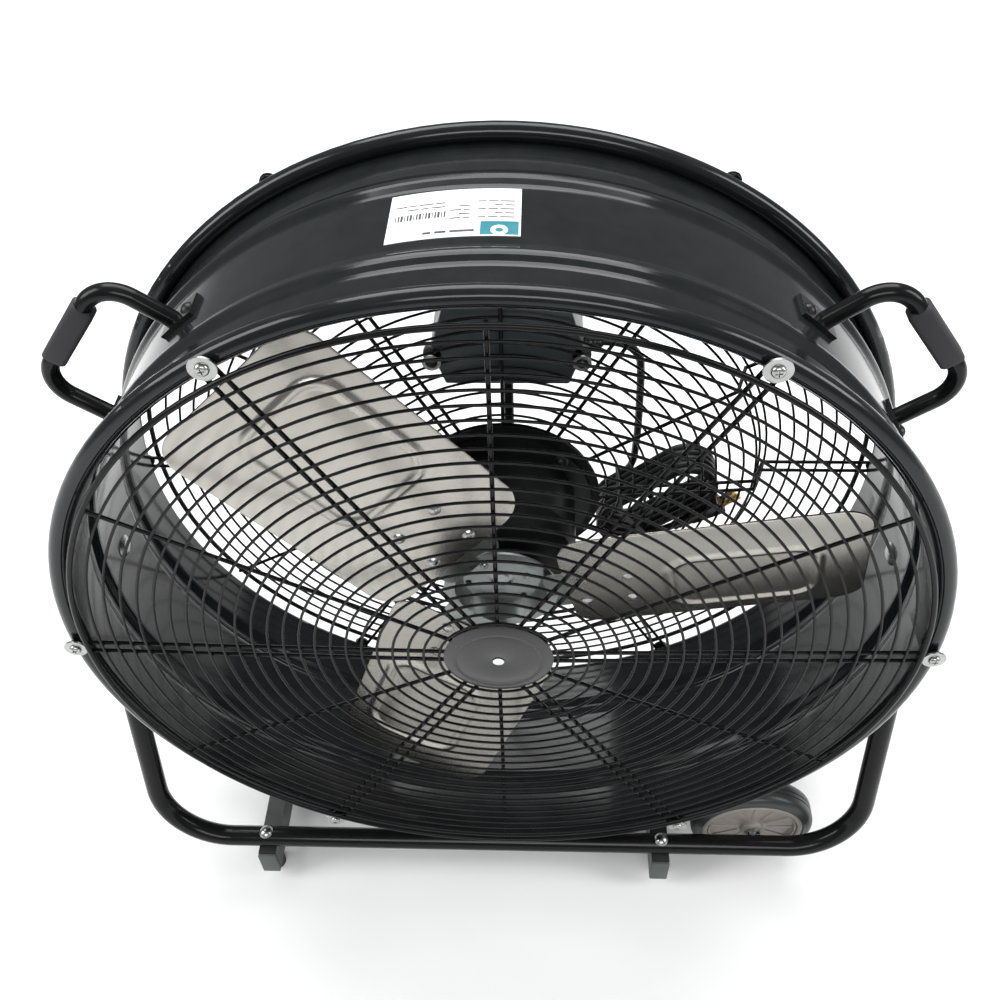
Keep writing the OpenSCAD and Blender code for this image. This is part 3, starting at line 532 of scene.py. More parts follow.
@dataclass(frozen=True)
class Finish:
    """One finish of the fan, made into a material once."""

    name: str
    low: Point
    high: Point
    rough: tuple[float, float] = (0.3, 0.45)
    metallic: float = 0.0
    mottle_scale: float = 25.0
    grain_scale: float = 500.0
    grain_stretch: Point = (1.0, 1.0, 1.0)
    grain_cells: float = 0.0
    bump: float = 0.08
    bump_distance: float = 0.0004
    coat: float = 0.0
    coat_rough: float = 0.08
    dust: float = 0.0
    spangle: float = 0.0
    anisotropic: float = 0.0
    specular: float = 0.5

    def material(self) -> bpy.types.Material:
        """The material of this finish, built on first use.

        Returns:
            The material.
        """
        made = bpy.data.materials.get(self.name)
        if made is not None:
            return made
        made = bpy.data.materials.new(self.name)
        made.use_nodes = True
        tree = made.node_tree
        shader = tree.nodes["Principled BSDF"]
        shader.inputs["Metallic"].default_value = self.metallic
        shader.inputs["Coat Weight"].default_value = self.coat
        shader.inputs["Coat Roughness"].default_value = self.coat_rough
        shader.inputs["Anisotropic"].default_value = self.anisotropic
        shader.inputs["Specular IOR Level"].default_value = self.specular
        mottle = self._placed(tree, Effects.mottle(), {
            "Low": (*self.low, 1), "High": (*self.high, 1), "Scale": self.mottle_scale,
            "Rough Low": self.rough[0], "Rough High": self.rough[1]})
        colour, rough = mottle.outputs["Color"], mottle.outputs["Roughness"]
        if self.spangle:
            crystals = self._placed(tree, Effects.spangle(), {"Scale": self.spangle})
            tree.links.new(colour, crystals.inputs["Color"])
            tree.links.new(rough, crystals.inputs["Roughness"])
            colour, rough = crystals.outputs["Color"], crystals.outputs["Roughness"]
        if self.dust:
            film = self._placed(tree, Effects.dust(), {"Amount": self.dust})
            tree.links.new(colour, film.inputs["Color"])
            tree.links.new(rough, film.inputs["Roughness"])
            colour, rough = film.outputs["Color"], film.outputs["Roughness"]
        tree.links.new(colour, shader.inputs["Base Color"])
        tree.links.new(rough, shader.inputs["Roughness"])
        grain = self._placed(tree, Effects.grain(), {
            "Scale": self.grain_scale, "Stretch": self.grain_stretch, "Cells": self.grain_cells})
        bump = tree.nodes.new("ShaderNodeBump")
        bump.inputs["Strength"].default_value = self.bump
        bump.inputs["Distance"].default_value = self.bump_distance
        tree.links.new(grain.outputs["Height"], bump.inputs["Height"])
        tree.links.new(bump.outputs["Normal"], shader.inputs["Normal"])
        return made

    @staticmethod
    def _placed(tree: bpy.types.NodeTree, group: bpy.types.NodeTree,
                values: dict[str, object]) -> bpy.types.Node:
        """A group node in a material with its own values.

        Args:
            tree: the material's nodes.
            group: the shared effect.
            values: what its inputs are set to.

        Returns:
            The new node.
        """
        node = tree.nodes.new("ShaderNodeGroup")
        node.node_tree = group
        for key, value in values.items():
            node.inputs[key].default_value = value
        return node


DRUM_ENAMEL = Finish("drum_enamel", (0.0055, 0.0070, 0.0080), (0.0080, 0.0098, 0.0110),
                     rough=(0.11, 0.17), mottle_scale=9, grain_scale=220, bump=0.02,
                     bump_distance=0.0002, coat=0.12, coat_rough=0.05, dust=0.02,
                     specular=0.22)
TUBE_POWDER = Finish("tube_powder_coat", (0.0040, 0.0042, 0.0046), (0.0060, 0.0063, 0.0068),
                     rough=(0.13, 0.20), mottle_scale=30, grain_scale=650, bump=0.04,
                     bump_distance=0.0002, dust=0.01, specular=0.17)
WIRE_POWDER = Finish("wire_powder_coat", (0.0035, 0.0036, 0.0038), (0.0052, 0.0054, 0.0056),
                     rough=(0.18, 0.28), mottle_scale=60, grain_scale=900, bump=0.04,
                     bump_distance=0.0002, specular=0.14)
CROSS_PAINT = Finish("cross_tube_paint", (0.009, 0.011, 0.012), (0.014, 0.016, 0.018),
                     rough=(0.30, 0.42), mottle_scale=35, grain_scale=600, bump=0.12, dust=0.06)
MOTOR_PAINT = Finish("motor_paint", (0.008, 0.0085, 0.0095), (0.013, 0.014, 0.015),
                     rough=(0.28, 0.38), mottle_scale=40, grain_scale=520, bump=0.12, dust=0.02,
                     specular=0.22)
PLATE_PAINT = Finish("plate_paint", (0.007, 0.0076, 0.0076), (0.011, 0.0120, 0.0120),
                     rough=(0.36, 0.5), specular=0.09, mottle_scale=35, grain_scale=500,
                     bump=0.12, dust=0.04)
ZINC = Finish("bright_zinc", (0.33, 0.34, 0.33), (0.44, 0.45, 0.44), rough=(0.22, 0.34),
              metallic=1.0, mottle_scale=120, grain_scale=900, bump=0.10,
              bump_distance=0.0002)
BLACK_OXIDE = Finish("black_oxide", (0.010, 0.010, 0.011), (0.018, 0.018, 0.019),
                     rough=(0.30, 0.42), metallic=0.4, mottle_scale=120, grain_scale=900,
                     bump=0.12, bump_distance=0.0002)
YELLOW_ZINC = Finish("yellow_zinc", (0.52, 0.34, 0.11), (0.66, 0.47, 0.20), rough=(0.22, 0.36),
                     metallic=1.0, mottle_scale=150, grain_scale=900, bump=0.10,
                     bump_distance=0.0002)
TURNED_STEEL = Finish("turned_steel", (0.36, 0.37, 0.38), (0.48, 0.49, 0.50),
                      rough=(0.24, 0.36), metallic=1.0, mottle_scale=80, grain_scale=700,
                      grain_stretch=(1, 6, 1), bump=0.15, bump_distance=0.0002,
                      anisotropic=0.4)
LAMINATED = Finish("laminated_steel", (0.20, 0.21, 0.22), (0.30, 0.31, 0.32),
                   rough=(0.36, 0.5), metallic=1.0, mottle_scale=80, grain_scale=900,
                   grain_stretch=(0.1, 6, 0.1), bump=0.3)
GALVANISED = Finish("galvanised_sheet", (0.30, 0.325, 0.32), (0.36, 0.385, 0.38),
                    rough=(0.30, 0.38), metallic=1.0, mottle_scale=28, grain_scale=420,
                    bump=0.10, bump_distance=0.0003, spangle=110.0, dust=0.03)
ROLLED_SHEET = Finish("rolled_aluminium", (0.44, 0.425, 0.385), (0.50, 0.485, 0.445),
                      rough=(0.22, 0.27), metallic=1.0, mottle_scale=4, grain_scale=900,
                      bump=0.0, bump_distance=0.0001)
RIVET_METAL = Finish("rivet_metal", (0.42, 0.42, 0.41), (0.54, 0.54, 0.53), rough=(0.20, 0.32),
                     metallic=1.0, mottle_scale=160, grain_scale=900, bump=0.12,
                     bump_distance=0.0002)
BOX_PLASTIC = Finish("switch_box_plastic", (0.032, 0.040, 0.043), (0.042, 0.051, 0.054),
                     rough=(0.36, 0.48), mottle_scale=30, grain_scale=1500, grain_cells=0.7,
                     bump=0.25, bump_distance=0.0002, dust=0.05)
CAP_PLASTIC = Finish("cap_plastic", (0.0042, 0.0044, 0.0046), (0.006, 0.0063, 0.0066),
                     rough=(0.24, 0.34), specular=0.12, mottle_scale=50, grain_scale=1400,
                     grain_cells=0.5, bump=0.18, bump_distance=0.0002, dust=0.02)
END_CAP = Finish("end_cap_plastic", (0.048, 0.058, 0.054), (0.062, 0.072, 0.068),
                 rough=(0.42, 0.55), mottle_scale=60, grain_scale=1400, grain_cells=0.6,
                 bump=0.25, bump_distance=0.0002, dust=0.05)
GRIP_RUBBER = Finish("grip_rubber", (0.009, 0.0095, 0.010), (0.014, 0.0145, 0.015),
                     rough=(0.32, 0.42), specular=0.3, mottle_scale=45, grain_scale=1300,
                     grain_cells=0.8, bump=0.15, bump_distance=0.0002, dust=0.05)
CABLE_PVC = Finish("cable_sheath", (0.0075, 0.008, 0.0085), (0.012, 0.0125, 0.013),
                   rough=(0.34, 0.46), specular=0.25, mottle_scale=60, grain_scale=1200, bump=0.12,
                   bump_distance=0.0002)
TYRE_RUBBER = Finish("tyre_rubber", (0.006, 0.0066, 0.007), (0.010, 0.0108, 0.0115),
                     rough=(0.28, 0.42), mottle_scale=35, grain_scale=900, grain_cells=0.4,
                     bump=0.12, bump_distance=0.0002, dust=0.03, specular=0.3)
HUB_PLASTIC = Finish("wheel_hub_plastic", (0.235, 0.213, 0.188), (0.295, 0.270, 0.240),
                     rough=(0.30, 0.42), mottle_scale=30, grain_scale=1100, grain_cells=0.5,
                     bump=0.2, bump_distance=0.0002, dust=0.08)
IVORY = Finish("ivory_plastic", (0.66, 0.63, 0.56), (0.76, 0.73, 0.66), rough=(0.36, 0.5),
               mottle_scale=60, grain_scale=1300, grain_cells=0.5, bump=0.15)
WHITE_DOT = Finish("white_paint_dot", (0.74, 0.75, 0.75), (0.84, 0.85, 0.85),
                   rough=(0.3, 0.4), mottle_scale=120, grain_scale=1200, bump=0.1)
LABEL_FILM = Finish("label_film", (0.66, 0.68, 0.69), (0.76, 0.78, 0.79), rough=(0.24, 0.34),
                    mottle_scale=18, grain_scale=900, bump=0.05, coat=0.3)
LABEL_TEAL = Finish("label_teal_ink", (0.012, 0.16, 0.20), (0.018, 0.21, 0.26),
                    rough=(0.26, 0.36), mottle_scale=60, grain_scale=900, bump=0.05)
LABEL_INK = Finish("label_dark_ink", (0.035, 0.035, 0.04), (0.06, 0.06, 0.065),
                   rough=(0.3, 0.42), mottle_scale=90, grain_scale=900, bump=0.05)

NODE_FINISHES: dict[str, Finish] = {
    "front_frame_tube": TUBE_POWDER, "rear_frame_tube": TUBE_POWDER,
    "cross_tube_left": CROSS_PAINT, "cross_tube_right": CROSS_PAINT, "end_caps": END_CAP,
    "rubber_feet": GRIP_RUBBER, "frame_bolts": ZINC, "frame_nuts": ZINC,
    "wheel_axle": TURNED_STEEL, "axle_collars": ZINC, "pivot_bolts": ZINC,
    "pivot_bushes": BLACK_OXIDE, "pivot_lock_nuts": ZINC, "drum_shell": DRUM_ENAMEL,
    "front_guard_rings": WIRE_POWDER, "front_guard_spokes": WIRE_POWDER,
    "front_cap_plate": PLATE_PAINT, "front_cap_screw": WHITE_DOT,
    "front_guard_washers": ZINC, "rear_guard_rings": WIRE_POWDER,
    "rear_guard_spokes": WIRE_POWDER, "rear_guard_screws": BLACK_OXIDE,
    "motor_mount_plate": PLATE_PAINT, "motor_body": MOTOR_PAINT, "motor_flange": MOTOR_PAINT,
    "motor_flange_screws": YELLOW_ZINC, "mount_screws": BLACK_OXIDE, "mount_washers": ZINC,
    "bearings": TURNED_STEEL, "motor_lead": CABLE_PVC,
    "rotary_switch": IVORY, "run_capacitor": IVORY, "handle_left": TUBE_POWDER,
    "handle_right": TUBE_POWDER, "handle_screws": BLACK_OXIDE, "motor_shaft": TURNED_STEEL,
    "motor_rotor": LAMINATED, "hub_boss": TURNED_STEEL, "hub_spider": GALVANISED,
    "hub_screws": ZINC, "blade_rivets": RIVET_METAL, "cord_tie": CAP_PLASTIC,
    "rating_label": LABEL_FILM,
}


def dress(piece: bpy.types.Object, finish: Finish) -> None:
    """Gives a piece one finish all over."""
    piece.data.materials.clear()
    piece.data.materials.append(finish.material())


def dress_node(name: str, finish: Finish) -> None:
    """Gives a carried-over part its finish in place of its plain one."""
    part = frame["nodes"][name]
    if not part.data.materials:
        part.data.materials.append(finish.material())
    for index in range(len(part.material_slots)):
        part.material_slots[index].material = finish.material()


def fitted(piece: bpy.types.Object, body: str, finish: Finish,
           replaces: Sequence[str] = ()) -> bpy.types.Object:
    """Dresses a new piece, says what it rides on and what it stands for.

    Args:
        piece: the piece.
        body: the moving body it rides on.
        finish: its finish.
        replaces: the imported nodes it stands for.

    Returns:
        The same piece.
    """
    dress(piece, finish)
    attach(piece, body)
    if replaces:
        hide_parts(*replaces)
    LOG.info("%s rides on %s", piece.name, body)
    return piece


# ---------------------------------------------------------------------------
# Camera, light and floor
# ---------------------------------------------------------------------------


@dataclass
class Studio:
    """A pale sweep under soft light, and the camera."""

    eye: Point = (29.7, -559.9, 676.5)
    pitch: float = 45.36
    yaw: float = -2.87
    roll: float = 1.68
    focal_share: float = 1.0345
    centre: tuple[float, float] = (0.5019, 0.4598)

    def place_camera(self) -> bpy.types.Object:
        """Makes the scene's camera.

        Returns:
            The camera.
        """
        yaw, pitch, roll = (math.radians(a) for a in (self.yaw, self.pitch, self.roll))
        ahead = Vector((math.sin(yaw) * math.cos(pitch), math.cos(yaw) * math.cos(pitch),
                        -math.sin(pitch)))
        right = Vector((math.cos(yaw), -math.sin(yaw), 0))
        down = ahead.cross(right)
        level_right = math.cos(roll) * right + math.sin(roll) * down
        level_down = -math.sin(roll) * right + math.cos(roll) * down
        data = bpy.data.cameras.new("camera")
        data.sensor_width = 36.0
        data.lens = 36.0 * self.focal_share
        data.shift_x = 0.5 - self.centre[0]
        data.shift_y = self.centre[1] - 0.5
        data.clip_end = 20
        camera = bpy.data.objects.new("camera", data)
        turn = Matrix((level_right, -level_down, -ahead)).transposed().to_4x4()
        camera.matrix_world = Matrix.Translation(in_drum(*self.eye)) @ turn
        bpy.context.collection.objects.link(camera)
        bpy.context.scene.camera = camera
        return camera

    def lay_floor(self) -> bpy.types.Object:
        """Makes the pale floor.

        Returns:
            The floor.
        """
        Bench.clear()
        bpy.ops.mesh.primitive_grid_add(x_subdivisions=8, y_subdivisions=8, size=14,
                                        location=(0, 0, CAD_BOX[0][2] - 0.0005))
        floor = bpy.context.object
        floor.name = "floor"
        paper = Finish("floor_paper", (0.91, 0.91, 0.91), (0.93, 0.93, 0.93),
                       rough=(0.75, 0.85), mottle_scale=3, grain_scale=120, bump=0.03,
                       specular=0.2)
        dress(floor, paper)
        return floor

    def light(self) -> None:
        """Adds the world's glow and the soft boxes."""
        world = bpy.data.worlds.new("studio")
        world.use_nodes = True
        glow = world.node_tree.nodes["Background"]
        glow.inputs["Color"].default_value = (0.97, 0.985, 1.0, 1)
        glow.inputs["Strength"].default_value = 0.27
        bpy.context.scene.world = world
        bpy.context.scene.view_settings.view_transform = "Standard"
        for name, where, size, power in (
                ("top_soft_box", (0.0, 1.3, 3.2), (3.6, 1.8), 138.0),
                ("left_soft_box", (-2.4, -0.6, 1.9), (1.1, 1.8), 48.0),
                ("right_soft_box", (2.5, -0.4, 1.8), (0.9, 1.6), 39.0),
                ("front_soft_box", (0.2, -3.2, 2.6), (2.6, 1.0), 62.0)):
            data = bpy.data.lights.new(name, "AREA")
            data.shape = "RECTANGLE"
            data.size, data.size_y = size
            data.energy = power
            lamp = bpy.data.objects.new(name, data)
            aim = (Vector((0, 0, 0.4)) - Vector(where)).to_track_quat("-Z", "Y")
            lamp.matrix_world = Matrix.Translation(where) @ aim.to_matrix().to_4x4()
            bpy.context.collection.objects.link(lamp)


# ---------------------------------------------------------------------------
# Power cord
# ---------------------------------------------------------------------------


@dataclass
class PowerCord:
    """The mains lead: down from the switch box, into a tied hank, and its plug."""

    radius: float = 3.5
    start: Point = (81.0, 106.0, 140.0)
    drops: tuple[Point, ...] = (
        (0, 0, 0), (6, 0, 0), (17, 0, -2), (26, 0.5, -8), (32, 1, -17), (34, 2, -28),
        (35.5, 4, -48), (36.5, 6.5, -70), (37.5, 9, -92), (38, 11.5, -114), (38, 14, -134),
        (37.7, 15.5, -149), (35.5, 16, -160))
    hank_at: Point = (139.0, 102.5, -38.0)
    hank_tilt: float = 40.0
    straight: float = 69.5
    fold: float = 24.5
    depth: float = 39.2
    turns: int = 5
    join_x: float = -20.0
    join_arc: float = 30.0
    plug_x: float = 12.0
    plug_y: float = -36.25
    plug_z: float = -6.4

    def in_hank(self) -> Matrix:
        """The hank's own frame: x along its runs, z towards the air outlet."""
        return (Matrix.Translation(in_drum(*self.hank_at))
                @ Matrix.Rotation(math.radians(-self.hank_tilt), 4, "Y")
                @ Matrix.Rotation(math.radians(90), 4, "X"))

    def hank_line(self) -> list[Vector]:
        """The cord's line from where it meets the hank to its plug, in the hank's frame.

        Returns:
            Points in millimetres.
        """
        half, r = self.straight / 2, self.fold
        flat: list[tuple[float, float]] = []
        centre = (self.join_x, r + self.join_arc)
        for degrees in (-62, -72, -81):
            a = math.radians(degrees)
            flat.append((centre[0] + self.join_arc * math.cos(a),
                         centre[1] + self.join_arc * math.sin(a)))
        entry = len(flat)
        flat.append((self.join_x, r))
        for turn in range(self.turns + 1):
            flat.extend((x, r) for x in ((12.0, -8.0) if turn else ()))
            flat.extend((-half + r * math.cos(math.radians(a)), r * math.sin(math.radians(a)))
                        for a in range(90, 271, 15))
            if turn < self.turns:
                flat.extend((x, -r) for x in (-12.0, 12.0))
                flat.extend((half + r * math.cos(math.radians(a)), r * math.sin(math.radians(a)))
                            for a in range(-90, 91, 15))
        lengths = [0.0]
        for (x1, y1), (x2, y2) in zip(flat[entry:], flat[entry + 1:]):
            lengths.append(lengths[-1] + math.hypot(x2 - x1, y2 - y1))
        line = [Vector((x, y, -self.depth / 2)) for x, y in flat[:entry]]
        line += [Vector((x, y, self.depth * (at / lengths[-1] - 0.5)))
                 for (x, y), at in zip(flat[entry:], lengths)]
        steps = 9
        reach = self.plug_x - 8 + half
        for i in range(1, steps + 1):
            t = i / steps
            ease = t * t * (3 - 2 * t)
            line.append(Vector((-half + reach * t, -r + (self.plug_y + r) * ease,
                                self.depth / 2 + self.plug_z * ease)))
        line.append(Vector((self.plug_x + 3, self.plug_y, self.depth / 2 + self.plug_z)))
        return line

    def line(self) -> list[Vector]:
        """The whole centreline in the object's frame, evenly smoothed.

        Returns:
            Points in metres.
        """
        first = [in_drum(*(a + b for a, b in zip(self.start, drop))) for drop in self.drops]
        knots = first + [self.in_hank() @ (p * MM) for p in self.hank_line()]
        smooth = []
        for i in range(len(knots) - 1):
            p0, p1 = knots[max(i - 1, 0)], knots[i]
            p2, p3 = knots[i + 1], knots[min(i + 2, len(knots) - 1)]
            for step in range(4):
                t = step / 4
                smooth.append(0.5 * ((2 * p1) + (p2 - p0) * t
                                     + (2 * p0 - 5 * p1 + 4 * p2 - p3) * t * t
                                     + (3 * p1 - p0 - 3 * p2 + p3) * t ** 3))
        smooth.append(knots[-1])
        return smooth

    def build(self) -> None:
        """Makes the cord, its strain relief and its plug."""
        points = self.line()
        cord = Bench.piped("mains_cord", points, self.radius * MM, sides=4, live=True)
        plug = self.plug()
        fitted(cord, "drum", CABLE_PVC, ("power_cord", "cord_hank"))
        self.relief()

    def relief(self) -> None:
        """Makes the nut and tapered boot where the cord leaves the switch box."""
        low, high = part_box("cord_gland")
        long = (high[0] - low[0]) / MM
        place = (Matrix.Translation((low[0], (low[1] + high[1]) / 2, (low[2] + high[2]) / 2))
                 @ Matrix.Rotation(math.radians(90), 4, "Y"))
        profile: list[tuple[float, float]] = [
            (0, 0), (5.9, 0), (5.9, 10.3), (8.4, 10.4), (8.9, 10.9), (8.9, 13.3),
            (8.4, 13.8), (7.0, 14.0)]
        for i in range(3):
            z = 14.8 + i * 3.1
            r = 6.8 - i * 0.5
            profile += [(r, z), (r, z + 1.6), (r - 0.8, z + 1.9), (r - 0.8, z + 2.7)]
        profile += [(4.9, long - 0.8), (4.5, long - 0.1), (self.radius - 0.2, long - 0.1),
                    (self.radius - 0.2, long - 4), (0, long - 4)]
        boot = Bench.turned("cord_strain_relief", profile, place, steps=40)
        fitted(boot, "drum", CAP_PLASTIC, ("cord_gland",))

    def plug(self) -> bpy.types.Object:
        """Makes the moulded plug with its boot and two flat pins.

        Returns:
            The plug.
        """
        place = self.in_hank() @ Matrix.Translation(
            Vector((self.plug_x + 18, self.plug_y, self.depth / 2 + self.plug_z)) * MM)

        def waisted(mesh: bmesh.types.BMesh) -> None:
            """Narrows the cord's end of the body."""
            for vertex in mesh.verts:
                if vertex.co.x < 0:
                    vertex.co.y *= 0.62
                    vertex.co.z *= 0.7

        body = Bench.block("plug_body", (35.6, 15.6, 17.6), place, 2.4, 4, waisted)
        boot_place = place @ Matrix.Translation((-35 * MM, 0, 0)) @ Matrix.Rotation(
            math.radians(90), 4, "Y")
        boot = Bench.turned("plug_boot", [
            (0, 0), (4.3, 0), (4.6, 0.6), (4.7, 3), (4.1, 3.3), (4.1, 4.6), (5.0, 4.9),
            (5.1, 7.4), (4.4, 7.7), (4.4, 9), (5.4, 9.3), (5.6, 12), (4.8, 12.4), (4.8, 13.6),
            (5.9, 14), (6.1, 19), (0, 19)], boot_place, steps=32)
        for piece in (body, boot):
            dress(piece, CAP_PLASTIC)
        pins = []
        for side in (-1, 1):
            pin = Bench.block(f"plug_pin_{side}", (19, 1.6, 6.4), place @ Matrix.Translation(
                Vector((26.4, 6 * side * 0.62, 0)) * MM), 0.5, 2)
            dress(pin, YELLOW_ZINC)
            pins.append(pin)
        whole = Bench.joined("mains_plug", [body, boot, *pins])
        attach(whole, "drum")
        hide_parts("power_plug")
        return whole


# ---------------------------------------------------------------------------
# Fan blades
# ---------------------------------------------------------------------------


@dataclass
class Blade:
    """A pressed sheet blade with rounded corners and a raised rectangle."""

    number: int
    angle: float
    root: float = 54.0
    tip: float = 289.0
    chord: tuple[float, float] = (-77.5, 71.5)
    corner: float = 24.0
    curve: float = 790.0
    pitch: float = 12.5
    forward: float = 47.0
    rib: tuple[float, float, float, float] = (137.0, 251.0, -56.0, 28.0)
    rib_corner: float = 20.0
    rib_half: float = 5.5
    rib_height: float = 1.9
    thick: float = 1.5
    corner_crowding: float = 0.055
    cells: tuple[int, int] = (118, 74)

    def half_loss(self, s: float) -> float:
        """How much each side is cut back at a distance along the blade."""
        near = min(s - self.root, self.tip - s)
        if near >= self.corner:
            return 0.0
        d = self.corner - near
        return self.corner - math.sqrt(max(self.corner ** 2 - d ** 2, 0.0))

    def height(self, s: float, c: float) -> float:
        """Height of the sheet's middle over the blade's own plane.

        Args:
            s: distance along the blade from the axis, in millimetres.
            c: place across the blade, in millimetres.

        Returns:
            The height in millimetres.
        """
        base = math.sqrt(self.curve ** 2 - c * c) - self.curve
        s1, s2, c1, c2 = self.rib
        x = abs(s - (s1 + s2) / 2) - (s2 - s1) / 2 + self.rib_corner
        y = abs(c - (c1 + c2) / 2) - (c2 - c1) / 2 + self.rib_corner
        off = math.hypot(max(x, 0), max(y, 0)) + min(max(x, y), 0) - self.rib_corner
        if abs(off) < self.rib_half:
            base += self.rib_height * (0.5 + 0.5 * math.cos(math.pi * off / self.rib_half))
        return base

    def build(self) -> bpy.types.Object:
        """Makes the blade from a grid pressed to shape.

        Returns:
            The blade.
        """
        Bench.clear()
        bpy.ops.mesh.primitive_grid_add(x_subdivisions=self.cells[0],
                                        y_subdivisions=self.cells[1], size=2)
        sheet = bpy.context.object
        c1, c2 = self.chord
        for vertex in sheet.data.vertices:
            u, v = (vertex.co.x + 1) / 2, (vertex.co.y + 1) / 2
            u = u - self.corner_crowding * math.sin(2 * math.pi * u)
            s = self.root + u * (self.tip - self.root)
            loss = self.half_loss(s)
            c = c1 + loss + v * (c2 - c1 - 2 * loss)
            vertex.co = Vector((s, c, self.height(s, c))) * MM
        Bench.modified(sheet, "SOLIDIFY", thickness=self.thick * MM, offset=0.0)
        Bench.modified(sheet, "BEVEL", width=0.35 * MM, segments=2, limit_method="ANGLE",
                       angle_limit=math.radians(50))
        place = (outward(self.angle) @ Matrix.Translation((0, 0, self.forward * MM))
                 @ Matrix.Rotation(math.radians(self.pitch), 4, "X"))
        Bench.seated(sheet, f"pressed_blade_{self.number}", place, Shading.SOFT)
        return fitted(sheet, "fan", ROLLED_SHEET, (f"blade_{self.number}",))


# ---------------------------------------------------------------------------
# Wheels
# ---------------------------------------------------------------------------


@dataclass
class Wheel:
    """A solid tyre on a ribbed plastic hub."""

    body: str
    ribs: int = 12
    tyre_depth: float = 11.0

    def build(self) -> None:
        """Makes the tyre and the hub of one wheel."""
        low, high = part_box(f"{self.body}_tyre")
        radius = (high[2] - low[2]) / 2 / MM
        width = (high[1] - low[1]) / MM
        hub_low, hub_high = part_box(f"{self.body}_hub")
        hub_width = (hub_high[1] - hub_low[1]) / MM
        centre = (Vector(low) + Vector(high)) / 2
        place = Matrix.Translation(centre) @ Matrix.Rotation(math.radians(90), 4, "X")
        rim, half = radius - self.tyre_depth, width / 2
        crown = [(rim, -half + 0.4), (rim + 0.5, -half), (rim + 1.6, -half),
                 (rim + 2.2, -half + 0.5)]
        crown += [(radius - 8.6 + 8.6 * math.sin(a), -half + 9.2 - 8.6 * math.cos(a))
                  for a in (math.radians(d) for d in range(0, 91, 10))]
        crown += [(radius, -3.2), (radius - 0.7, -2.8), (radius - 0.7, -2.0), (radius, -1.6)]
        section = crown + [(r, -h) for r, h in reversed(crown)]
        tyre = Bench.turned(f"{self.body}_moulded_tyre", section, place, steps=120,
                            closed=True, shading=Shading.SOFT)
        fitted(tyre, self.body, TYRE_RUBBER, (f"{self.body}_tyre",))
        self._hub(place, rim, hub_width / 2)

    def _hub(self, place: Matrix, rim: float, half: float) -> None:
        """Makes the hub: a stepped web, a rim ring, a boss and ribs on both faces.

        Args:
            place: the wheel's frame, with z along its axle.
            rim: outer radius of the hub in millimetres.
            half: half its width in millimetres.
        """
        side = [(5.08, half), (11.2, half), (12.4, half - 0.8), (13.0, half - 5.0),
                (16.0, half - 6.2), (rim - 9.2, half - 6.8), (rim - 8.4, half - 5.4),
                (rim - 8.1, half - 3.0), (rim - 7.4, half - 2.7), (rim - 6.6, half - 2.9),
                (rim - 6.4, half - 6.5), (rim - 5.6, half - 6.5), (rim - 5.4, half - 2.2),
                (rim - 4.6, half - 1.4), (rim - 1.2, half - 1.3),
                (rim - 0.3, half - 1.9), (rim - 0.05, half - 3.0)]
        section = side + [(r, -h) for r, h in reversed(side)]
        web = Bench.turned(f"{self.body}_web", section, place, steps=96, closed=True)
        rib_long = rim - 9.5 - 12.6
        pieces = [web]
        for face in (-1, 1):
            for i in range(self.ribs):
                turn = place @ Matrix.Rotation(2 * math.pi * i / self.ribs, 4, "Z")
                spot = turn @ Matrix.Translation(
                    Vector((12.6 + rib_long / 2, 0, face * (half - 6.4))) * MM)
                pieces.append(Bench.block("rib", (rib_long, 4.4, 1.6), spot, 0.7, 3))
        hub = Bench.joined(f"{self.body}_ribbed_hub", pieces)
        fitted(hub, self.body, HUB_PLASTIC, (f"{self.body}_hub",))


# ---------------------------------------------------------------------------
# Guard details
# ---------------------------------------------------------------------------


